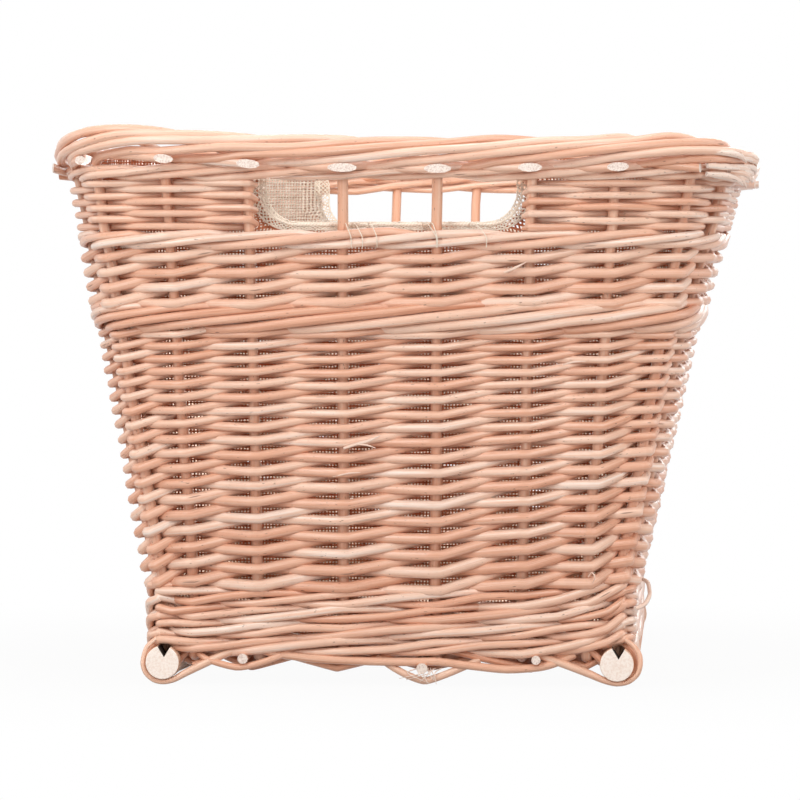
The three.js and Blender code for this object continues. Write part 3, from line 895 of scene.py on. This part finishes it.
for number, (radius, short, sag) in enumerate(zip(STICK_RADII, STICK_SHORT, STICK_SAG), 1):
    low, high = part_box(f"base_stick_{number}")
    x, z = (low.x + high.x) / 2, (low.z + high.z) / 2
    ys = np.linspace(low.y + short, high.y - short, 14)
    rods = Rods(sides=12)
    places = [(x + chance.gauss(0, 0.0003), y, z - sag * min(1, abs(y / high.y)) ** 12) for y in ys]
    rods.add(places, radius)
    stick = rods.mesh(f"stick_{number}")
    place_piece(stick, [base_skin, cut_end], "base_willow", f"base_stick_{number}")
print("sticks:", len(STICK_RADII))

# %% [markdown]
# The poles are peeled, so they have no skin, only a long grain and some darker knots. A Mapping node
# squeezes a noise along the basket, which draws its spots out into grain.

# %% Finish for the peeled poles
def pole_finish():
    finish = Finish("peeled_pole")
    place = finish.object_place()
    stretched = finish.add("ShaderNodeMapping", {}, {"Vector": place, "Scale": (1, 0.06, 1)})
    grain = finish.noise(stretched, scale=420, detail=4)
    knots = finish.noise(place, scale=45)
    tones = ((0.3, (0.5, 0.29, 0.19)), (0.5, (0.68, 0.44, 0.31)), (0.7, (0.78, 0.56, 0.42)))
    colour = finish.ramp(grain * 0.7 + knots * 0.3, *tones)
    finish.set(Base_Color=colour, Roughness=0.55 + grain * 0.2, Normal=finish.bump(grain, 0.5, 0.0005))
    return finish.owner


pole_skin = pole_finish()
print("finish:", pole_skin.name)

# %% Cut the notches
NOTCH_WIDTH = 0.0122
NOTCH_DEPTH = 0.0078
NOTCH_LENGTH = 0.024
NOTCH_ASIDE = 0.0012  # the saw didn't quite meet the middle
POLE_SIDES = 40
POLE_EASING = 0.0007  # how far the edges of its ends are worn round


def bar(shape, sides, radius, length):
    """A straight bar along the basket, added to a bmesh."""
    made = bmesh.ops.create_cone(
        shape, cap_ends=True, segments=sides, radius1=radius, radius2=radius, depth=length
    )["verts"]
    bmesh.ops.rotate(shape, verts=made, matrix=Matrix.Rotation(math.pi / 2, 3, "X"))
    return made


def notch_wedges(x, end_y):
    """Three-sided bars, one at each end of a pole, with an edge down."""
    wedges = bmesh.new()
    for end in (-1, 1):
        made = bar(wedges, 3, 1, 2 * NOTCH_LENGTH)
        if max(v.co.z for v in made) > 0.9:
            bmesh.ops.rotate(wedges, verts=made, matrix=Matrix.Rotation(math.pi, 3, "Y"))
        bmesh.ops.scale(wedges, verts=made, vec=(NOTCH_WIDTH / 1.5, 1, NOTCH_DEPTH))
        bmesh.ops.translate(wedges, verts=made, vec=(x, end * end_y, pole_z + pole_radius))
    # The wedge's faces become the notch's walls, which take the third finish, the painted shade.
    for face in wedges.faces:
        face.material_index = 2
    return finished_mesh(wedges, "notch_wedges")


# %% Make the poles
for node in ("left_base_pole", "right_base_pole"):
    low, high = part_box(node)
    x = (low.x + high.x) / 2
    shape = bmesh.new()
    made = bar(shape, POLE_SIDES, pole_radius, high.y - low.y)
    bmesh.ops.translate(shape, verts=made, vec=(x, 0, pole_z))
    caps = [f for f in shape.faces if len(f.verts) > 4]
    for face in shape.faces:
        face.smooth = face not in caps
        face.material_index = 1 if face in caps else 0
    rim = [e for e in shape.edges if any(f in caps for f in e.link_faces)]
    bmesh.ops.bevel(
        shape, geom=rim, offset=POLE_EASING, affect="EDGES", segments=2, profile=0.5, material=-1
    )
    whole = in_scene(finished_mesh(shape, "whole_pole"))
    wedges = in_scene(notch_wedges(x + NOTCH_ASIDE, high.y))
    for part in (whole, wedges):
        for finish in (pole_skin, pole_end, notch_painted_shade):
            part.data.materials.append(finish)
    cut = whole.modifiers.new("notches", "BOOLEAN")
    cut.operation = "DIFFERENCE"
    cut.object = wedges
    notched = modified(whole, wedges)
    notched.name = node + "_wood"
    place_piece(notched, [], "pole_wood", node)
    print(node, "with", len(notched.polygons), "faces")

# %% [markdown]
# ## Loose ends
#
# No basket is quite tidy. A few fibres have split off the rods, a tip curls out at the right-hand corner,
# and strings hang at the foot. They are one piece of their own, which replaces no node. The fibres are
# placed by stake, height and distance out, and the strings hang from the front edge of the base.

# %% Add the loose ends
STRINGS = 9
# Stakes to the right, height, distance out and radius of each bend, all but the first in millimetres.
LOOSE_ENDS = (
    ((2.02, 160, 9, 0.9), (2.16, 163, 11, 1.3), (2.3, 165.5, 13, 1.1), (2.42, 169, 15, 0.2)),
    ((2.16, 163, 11, 0.8), (2.27, 162.5, 14, 0.7), (2.37, 160.5, 16, 0.2)),
    ((3.72, 277, 9, 0.9), (3.84, 280, 11, 1.0), (3.97, 284, 13, 0.2)),
    ((5.0, 74, 9, 0.6), (5.06, 77, 13, 0.5), (5.12, 74, 15, 0.4), (5.09, 70, 13, 0.2)),
    ((6.5, 52, 10, 1.6), (6.8, 55, 15, 1.6), (7.05, 61, 17.5, 1.5), (7.2, 68, 15, 1.4), (7.3, 71, 9, 1.2)),
    ((1.9, 141, 8, 0.5), (2.08, 143.5, 11.5, 0.6), (2.2, 144, 12.5, 0.2)),
    ((4.45, 216, 8, 0.6), (4.6, 218, 11, 0.8), (4.75, 218.5, 12.5, 0.2)),
)
loose = Rods(sides=6)
for bends in LOOSE_ENDS:
    knots = [(at, z / 1000, out / 1000, radius / 1000) for at, z, out, radius in bends]
    loose.add_on_wall(supple(knots, straight=0.1), tone=1.1)
for _ in range(STRINGS):
    x = chance.uniform(0.02, 0.036)
    knots = [
        (x, base_low.y + 0.004, 0.012, 0.0004),
        (x + chance.gauss(0, 0.003), base_low.y - 0.0005, 0.009, 0.0004),
        (x + chance.gauss(0, 0.008), base_low.y - 0.001, chance.uniform(0.001, 0.006), 0.0002),
    ]
    path = supple(knots, straight=0.1)
    loose.add(path[:, :3], path[:, 3], tone=1.3)
print("loose ends:", loose.count)
weave_piece(loose, "loose_ends")

# %% [markdown]
# ## Hessian
#
# Hessian is an open plain weave of coarse jute. That is too many threads to model, so the liner is a thin
# sheet whose material draws the threads in the sheet's own coordinates, in metres, and makes the little
# squares between them see-through. The light inside the basket then sparkles in the chinks.

# %% Hessian as a material
THREAD_PITCH = 0.0022
THREAD_HALF = 0.14  # of the pitch: half a thread's width where it is thinnest
THREAD_WANDER = 0.0009


def hessian_finish(name, tones):
    finish = Finish(name)
    place = finish.add("ShaderNodeUVMap", {"uv_map": "cloth"}, {})
    wander = finish.noise(place, scale=90).beside("Color")
    shift = [wander, (THREAD_WANDER,) * 3, place]
    wandered = finish.add("ShaderNodeVectorMath", {"operation": "MULTIPLY_ADD"}, shift)
    split = finish.add("ShaderNodeSeparateXYZ", {}, [wandered])
    u, v = split * (1 / THREAD_PITCH), split.beside("Y") * (1 / THREAD_PITCH)
    off_warp, off_weft = u.math("PINGPONG", 0.5), v.math("PINGPONG", 0.5)
    slub_warp = finish.noise(finish.vector(u.math("ROUND"), v * 0.12, 0), scale=3.1)
    slub_weft = finish.noise(finish.vector(u * 0.12, v.math("ROUND"), 7), scale=3.1)
    past_warp = off_warp.math("GREATER_THAN", THREAD_HALF + slub_warp * 0.2)
    past_weft = off_weft.math("GREATER_THAN", THREAD_HALF + slub_weft * 0.2)
    parity = (u.math("ROUND") + v.math("ROUND")) * 0.5
    weft_over = parity.math("FRACT").math("GREATER_THAN", 0.25)
    warp_height = 1 - off_warp * 2.2 + (1 - weft_over) * 0.6
    height = warp_height.math("MAXIMUM", 1 - off_weft * 2.2 + weft_over * 0.6)
    hair = finish.noise(place, scale=1500, detail=3)
    colour = finish.ramp(slub_warp * 0.5 + slub_weft * 0.5 + hair * 0.35 - 0.18, *tones)
    # Painted shade: where a thread dips under its neighbour, its colour is darkened halfway to dark brown.
    colour = finish.mix(height.between(0.9, 0.35) * 0.5, colour, (0.3, 0.16, 0.1))
    finish.set(Base_Color=colour, Roughness=0.95, Alpha=1 - past_warp * past_weft)
    finish.set(Normal=finish.bump(height + hair * 0.3, 0.7, 0.0006), Specular_IOR_Level=0.2)
    return finish.owner


JUTE_TONES = ((0.2, (0.46, 0.35, 0.28)), (0.5, (0.64, 0.53, 0.44)), (0.8, (0.8, 0.72, 0.65)))
# Painted shade: the face against the willow is the same jute, darker and redder, for the shadow between the
# rods.
PAINTED_SHADE_JUTE = tuple((at, (r * 0.95, g * 0.42, b * 0.27)) for at, (r, g, b) in JUTE_TONES)
hessian = hessian_finish("hessian", JUTE_TONES)
hessian_painted_shade = hessian_finish("hessian_outer_painted_shade", PAINTED_SHADE_JUTE)
print("threads", THREAD_PITCH, "m apart")

# %% [markdown]
# The liner is drawn as rings, one above the other, that follow the wall just inside the weaving. Faces in
# the hand holes are deleted, and the points left on their edges are pulled onto the hole's rounded outline.
# A Solidify modifier gives the sheet its thickness, and its material offset gives the face against the
# willow a finish of its own: the same jute made darker and redder, as painted shade for the chinks' shadow.

# %% Measure the liner
LINER_OUT = -0.0118
CLOTH_THICKNESS = 0.0004
RINGS = 66
PER_STAKE = 5
WALL_MIDDLES = (2.5, 10.5, 18.5, 26.5)
WALL_SLANT = 1.03  # the wall's own length over its height
FLOOR_RINGS = (0.96, 0.8, 0.5, 0.2)
CORNER_EASING = 8  # passes that round the cloth's corners, where its ring would otherwise cross itself
HEM = 0.0022
HOLE_CORNER = 0.024
CUT_WIDER = 0.006  # the cloth is cut this much wider than the line of the solid hem
RING_INSET = 0.0008
END_WALL_Y = 0.24
SLOPE_STEP = 1e-4
hem_low, hem_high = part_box("front_hand_hole_hem")
hole_half_width = (hem_high.x - hem_low.x) / 2 - HEM + CUT_WIDER
hole_bottom = hem_low.z + HEM
liner_low, liner_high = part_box("hessian_liner")
print("hand hole:", round(2 * hole_half_width, 4), "wide, from", round(hole_bottom, 4), "up")


def outline_distance(x, z):
    """How far a point of an end wall is outside the cloth's cut for the hand hole, negative inside it."""
    reach_x = abs(x - LEAN) - (hole_half_width - HOLE_CORNER)
    reach_z = hole_bottom + HOLE_CORNER - z
    outside = math.hypot(max(reach_x, 0), max(reach_z, 0))
    return outside + min(max(reach_x, reach_z), 0) - HOLE_CORNER


def running_length(steps):
    return np.concatenate([[0], np.cumsum(np.linalg.norm(steps, axis=1))])


# %% Hang its walls
def liner_ring(stations, z):
    ripple = 0.0006 * np.sin(stations * 2 * math.pi / 1.6 + z * 30)
    ripple = ripple + 0.0005 * np.sin(stations * 4.1 - z * 55)
    places = wall_points(stations, z, LINER_OUT - RING_INSET + ripple)
    for _ in range(CORNER_EASING):
        places = (np.roll(places, 1, axis=0) + 2 * places + np.roll(places, -1, axis=0)) / 4
    return places


def hang_walls(sheet, uv, heights):
    """Lays the rings and joins them. The cloth's own coordinates start at the middle of each wall."""
    stations = np.arange(0, STAKES, 1 / PER_STAKE)
    count = len(stations)
    rings, lengths = [], []
    for z in heights:
        places = liner_ring(stations, z)
        lengths.append(running_length(np.roll(places, -1, axis=0) - places))
        rings.append([sheet.verts.new(place) for place in places])
    for low in range(RINGS - 1):
        for i in range(count):
            corners = [(low, i), (low, i + 1), (low + 1, i + 1), (low + 1, i)]
            face = sheet.faces.new([rings[level][wrap % count] for level, wrap in corners])
            face.smooth = True
            at = stations[i] + 0.5 / PER_STAKE
            middle = min(WALL_MIDDLES, key=lambda m: abs((at - m + STAKES / 2) % STAKES - STAKES / 2))
            for loop, (level, wrap) in zip(face.loops, corners):
                length = lengths[level]
                total = length[-1]
                home = np.interp(middle * PER_STAKE, range(count + 1), length)
                across = (length[wrap] - home + total / 2) % total - total / 2
                loop[uv].uv = (across, heights[level] * WALL_SLANT)
    return rings[0]


# %% Lay its floor
def lay_floor(sheet, uv, edge, height):
    """Closes the lowest ring with smaller and smaller ones and a fan at the centre."""
    middle = Vector((0, 0, height))
    centre = sheet.verts.new(middle)
    outer = edge
    for size in FLOOR_RINGS:
        inner = [sheet.verts.new(middle + (v.co - middle) * size) for v in edge]
        for i in range(len(edge)):
            sheet.faces.new((outer[i], inner[i], inner[i - 1], outer[i - 1]))
        outer = inner
    for i in range(len(edge)):
        sheet.faces.new((outer[i], centre, outer[i - 1]))
    for face in sheet.faces:
        if all(abs(v.co.z - height) < 1e-6 for v in face.verts):
            for loop in face.loops:
                loop[uv].uv = loop.vert.co.xy


# %% Cut its hand holes
def cut_hand_holes(sheet):
    gone = []
    for face in sheet.faces:
        centre = face.calc_center_median()
        if all(abs(v.co.y) > END_WALL_Y for v in face.verts) and outline_distance(centre.x, centre.z) < 0:
            gone.append(face)
    edge = {v for face in gone for v in face.verts if any(f not in gone for f in v.link_faces)}
    for v in edge:
        for _ in range(6):
            d = outline_distance(v.co.x, v.co.z)
            slope_x = (outline_distance(v.co.x + SLOPE_STEP, v.co.z) - d) / SLOPE_STEP
            slope_z = (outline_distance(v.co.x, v.co.z + SLOPE_STEP) - d) / SLOPE_STEP
            v.co.x -= d * slope_x
            v.co.z -= d * slope_z
    bmesh.ops.delete(sheet, geom=gone, context="FACES")


# %% Make the liner
sheet = bmesh.new()
uv = sheet.loops.layers.uv.new("cloth")
heights = np.linspace(liner_low.z + RING_INSET, liner_high.z, RINGS)
lay_floor(sheet, uv, hang_walls(sheet, uv, heights), heights[0])
cut_hand_holes(sheet)
liner_area = sum(face.calc_area() for face in sheet.faces)
bmesh.ops.recalc_face_normals(sheet, faces=sheet.faces)
cloth = finished_mesh(sheet, "liner_cloth")
liner = place_piece(cloth, [hessian_painted_shade, hessian], "hessian", "hessian_liner")
thickness = liner.modifiers.new("thickness", "SOLIDIFY")
thickness.thickness = CLOTH_THICKNESS
thickness.offset = -1
thickness.material_offset = 1
print("liner area", round(liner_area, 3))

# %% [markdown]
# ## Hems
#
# The liner is cut away down the ends and along the sill of each hand hole. The cut has frayed into a narrow
# net of loose threads, held by a thin roll, and a few stitches of twine tie it over the sill's wale. The
# threads are swept like rods, along the line of the cut.

# %% Follow the cut
LINE_STEP = 0.0013


def cut_line():
    """Points down one end of the hand hole, along its sill and up the other end, as x and z."""
    x, z = hole_half_width - HOLE_CORNER, hole_bottom + HOLE_CORNER
    top = liner_high.z - 0.003
    turn = [math.radians(degrees) for degrees in range(180, 271, 10)]
    left = [(-x + HOLE_CORNER * math.cos(a), z + HOLE_CORNER * math.sin(a)) for a in turn]
    right = [(-across, height) for across, height in left[::-1]]
    points = np.array([(-x - HOLE_CORNER, top), *left, *right, (x + HOLE_CORNER, top)])
    lengths = running_length(np.diff(points, axis=0))
    even = np.arange(0, lengths[-1], LINE_STEP)
    return np.column_stack([np.interp(even, lengths, points[:, 0]), np.interp(even, lengths, points[:, 1])])


def station_of(x, z, end):
    """The number of stakes to the right at which an end wall has this x, at a height."""
    reach = np.arange(-1, 7.01, 0.1) if end < 0 else np.arange(15, 23.01, 0.1)
    xs = wall_points(reach, z, LINER_OUT)[:, 0]
    return np.interp(-end * x, -end * xs, reach)


# %% [markdown]
# The frayed threads could share the liner's finish, but that one draws a weave on a flat sheet. This one
# turns its pattern round the thread as it runs along, which looks like twisted jute.

# %% Finish for the frayed threads
def hem_finish():
    finish = Finish("hessian_roll")
    along, around = finish.attribute("along"), finish.attribute("around")
    u, v = along * (1 / THREAD_PITCH) + around * 3, around * 6
    weave = u.math("PINGPONG", 0.5) + v.math("PINGPONG", 0.5)
    hair = finish.noise(finish.vector(along * 900, around * 20, 0), detail=3)
    tones = ((0.2, (0.62, 0.47, 0.36)), (0.45, (0.83, 0.72, 0.6)), (0.7, (0.93, 0.87, 0.78)))
    colour = finish.ramp(weave * 0.4 + hair * 0.6, *tones)
    finish.set(Base_Color=colour, Roughness=0.95, Normal=finish.bump(weave + hair, 0.25, 0.0003))
    return finish.owner


hem_skin = hem_finish()
print("finish:", hem_skin.name)

# %% Knot the hems
NET_THREADS = 7
NET_PERIOD = 0.021
NET_HALF_WIDTH = 0.0058
SILL_HALF_WIDTH = 0.0026
NET_RADIUS = 0.00036
TWINE = 0.00033
BEHIND_WALE = 0.335  # above this height the hem tucks in behind the top wale
STITCHES = (-0.031, -0.027, -0.013, 0.021, 0.026, 0.051)
# A stitch's bends: share of its slant, height, and distance out.
STITCH = (
    (0, 0.3068, -0.010), (0, 0.3092, -0.003), (0.3, 0.3093, 0.003),
    (0.6, 0.3065, 0.0086), (1, 0.300, 0.0104), (1, 0.2935, 0.0085),
)


def unit_rows(rows):
    return rows / np.linalg.norm(rows, axis=1)[:, None]


def hem(end, node, piece):
    """The frayed edge: threads that cross each other aslant, held by a thin roll and a straight thread."""
    net = Rods(sides=5)
    line = cut_line()
    stations = np.array([station_of(x + LEAN, z, end) for x, z in line])
    out = LINER_OUT + 0.0006 - 0.002 * np.clip((line[:, 1] - BEHIND_WALE) / 0.006, 0, 1)
    middle = wall_points(stations, line[:, 1], out)
    outward = unit_rows(wall_points(stations, line[:, 1], out + 0.01) - middle)
    along = unit_rows(np.gradient(middle, axis=0))
    aside = np.cross(along, outward)
    upright = np.clip(np.convolve(np.abs(along[:, 2]), np.ones(9) / 9, "same"), 0, 1)
    half_width = SILL_HALF_WIDTH + (NET_HALF_WIDTH - SILL_HALF_WIDTH) * upright
    steps = np.arange(len(middle))

    def thread(across, lift, radius):
        shake = np.array([[chance.gauss(0, 0.00012) for _ in range(3)] for _ in steps])
        net.add(middle + aside * across[:, None] + outward * lift + shake, radius)

    for strand in range(2 * NET_THREADS):
        way = 1 if strand % 2 else -1
        turns = way * steps * LINE_STEP / NET_PERIOD + (strand // 2) / NET_THREADS
        zigzag = 2 * np.abs(2 * (turns % 1) - 1) - 1
        wide = half_width * (1 + 0.12 * np.sin(steps * 0.31 + strand))
        thread(wide * zigzag, way * 0.0004, NET_RADIUS)
    thread(half_width * 0.96, 0, 0.0005)
    thread(-half_width * 0.96, 0, 0.0004)
    lumps = [0.0012 + 0.0006 * math.sin(step * 0.23) ** 2 + chance.gauss(0, 0.0001) for step in steps]
    thread(-half_width * 0.4, 0, np.array(lumps) * (1 - 0.6 * upright))
    for x in STITCHES:
        x += chance.gauss(0, 0.001)
        slant = chance.uniform(0.003, 0.015)
        path = supple([(x + share * slant, z, out) for share, z, out in STITCH], straight=0.2)
        places = [(station_of(end * -across + LEAN, z, end), z, out) for across, z, out in path]
        net.add(wall_points(*np.array(places).T), TWINE)
    print(piece, net.count, "threads")
    place_piece(net.mesh(piece), [hem_skin, hem_skin], "hessian", node)


# %% Place the hems
hem(-1, "front_hand_hole_hem", "front_hem_net")
hem(1, "rear_hand_hole_hem", "rear_hem_net")

# %% [markdown]
# ## Floor, light and camera
#
# The basket was photographed on white, nearly level, from one end and a long way off. The floor and the
# world show white to the camera, and to rays that a glossy or clear surface sends on, and stay plain to all
# others. Lamps stand on every side, so the basket is lit from wherever it is looked at.

# %% Floor and world
FLOOR_WHITE = 0.955  # how much of the near floor is pure white; the rest shows the basket's shadow


def white_to_camera(finish, white, share):
    seen = finish.add("ShaderNodeLightPath", {}, {}, "Is Camera Ray")
    paths = [seen.beside(word) for word in ("Is Glossy Ray", "Is Transmission Ray")]
    for path in paths:
        seen = seen.math("MAXIMUM", path)
    plain = Channel(finish, finish.surface.outputs[0])
    glow = finish.add(white, {}, {"Color": (1, 1, 1, 1), "Strength": 1.0})
    both = finish.add("ShaderNodeMixShader", {}, {0: seen * share, 1: plain, 2: glow})
    finish.feed(finish.output.inputs["Surface"], both)
    return finish.owner


ground = Finish("studio_white")
ground.set(Base_Color=(0.42, 0.42, 0.42, 1), Roughness=0.9)
away = ground.add("ShaderNodeVectorMath", {"operation": "LENGTH"}, [ground.object_place()], "Value")
share = FLOOR_WHITE + (1 - FLOOR_WHITE) * away.between(0.28, 0.6)
floor_shape = bmesh.new()
bmesh.ops.create_grid(floor_shape, x_segments=1, y_segments=1, size=12)
floor = in_scene(finished_mesh(floor_shape, "studio_floor"))
floor.data.materials.append(white_to_camera(ground, "ShaderNodeEmission", share))

air = Finish("studio", bpy.data.worlds)
air.set(Color=(1, 0.54, 0.35, 1), Strength=0.31)
bpy.context.scene.world = white_to_camera(air, "ShaderNodeBackground", 1)
print("floor and world:", floor.name, bpy.context.scene.world.name)

# %% [markdown]
# Small lamps would make a hard bright line on every rod. Large soft ones give willow its broad sheen, and
# leave the shadows between the rods soft too. The two tall ones in front do most of the work.

# %% Lamps
DAYLIGHT = (0.885, 0.975, 1.0)
WARM = (1.0, 0.93, 0.86)


def softbox(name, place, target, size, power, colour=DAYLIGHT):
    light = bpy.data.lights.new(name, "AREA")
    light.shape = "RECTANGLE"
    light.size, light.size_y = size
    light.energy = power
    light.color = colour
    lamp = in_scene(light)
    lamp.location = place
    lamp.rotation_euler = (Vector(target) - Vector(place)).to_track_quat("-Z", "Y").to_euler()
    lamp.visible_camera = False


softbox("left_front", (-0.76, -1.35, 1.0), (-0.1, -0.28, 0.35), (0.28, 1.7), 16.6)
softbox("right_front", (0.62, -1.55, 1.0), (0.1, -0.28, 0.35), (0.28, 1.7), 14.4)
softbox("top", (0.0, -0.2, 2.2), (0, 0, 0.2), (1.2, 1.2), 19)
softbox("left_side", (-1.7, -0.1, 0.7), (-0.2, -0.1, 0.25), (0.7, 1.2), 8)
softbox("right_side", (1.7, -0.1, 0.7), (0.2, -0.1, 0.25), (0.7, 1.2), 11)
softbox("behind", (0.1, 1.9, 0.9), (0, 0.3, 0.2), (1.4, 1.0), 17)

# What the thin cloth and the gaps let in is stood in for by two weak sheets of light inside the basket.
for end, name, power in ((-1, "inside_to_front", 1.3), (1, "inside_to_rear", 0.5)):
    softbox(name, (0, end * -0.2, 0.19), (0, end * 0.2, 0.19), (0.24, 0.2), power, WARM)
print("lamps:", len(bpy.data.lights))

# %% [markdown]
# How far off the camera stood follows from the two rims: the far one looks 0.85 as wide as the near one.
# That takes more than three metres and a long lens.

# %% Camera
CAMERA_DISTANCE = 3.35
CAMERA_HEIGHT = 0.282
CAMERA_TURN = 3.47  # degrees to the right of straight ahead
CAMERA_TILT = 1.66
AIM_LEFT = 0.123
view = bpy.data.cameras.new("photograph")
view.lens = 210
view.sensor_width = 36
view.clip_end = 60
camera = in_scene(view)
turn = math.radians(CAMERA_TURN)
camera.location = (CAMERA_DISTANCE * math.sin(turn), -CAMERA_DISTANCE * math.cos(turn), CAMERA_HEIGHT)
camera.rotation_euler = (math.radians(90 - CAMERA_TILT), 0, turn + math.radians(AIM_LEFT))
bpy.context.scene.camera = camera
bpy.context.scene.view_settings.view_transform = "Standard"
print("camera at", [round(v, 3) for v in camera.location])
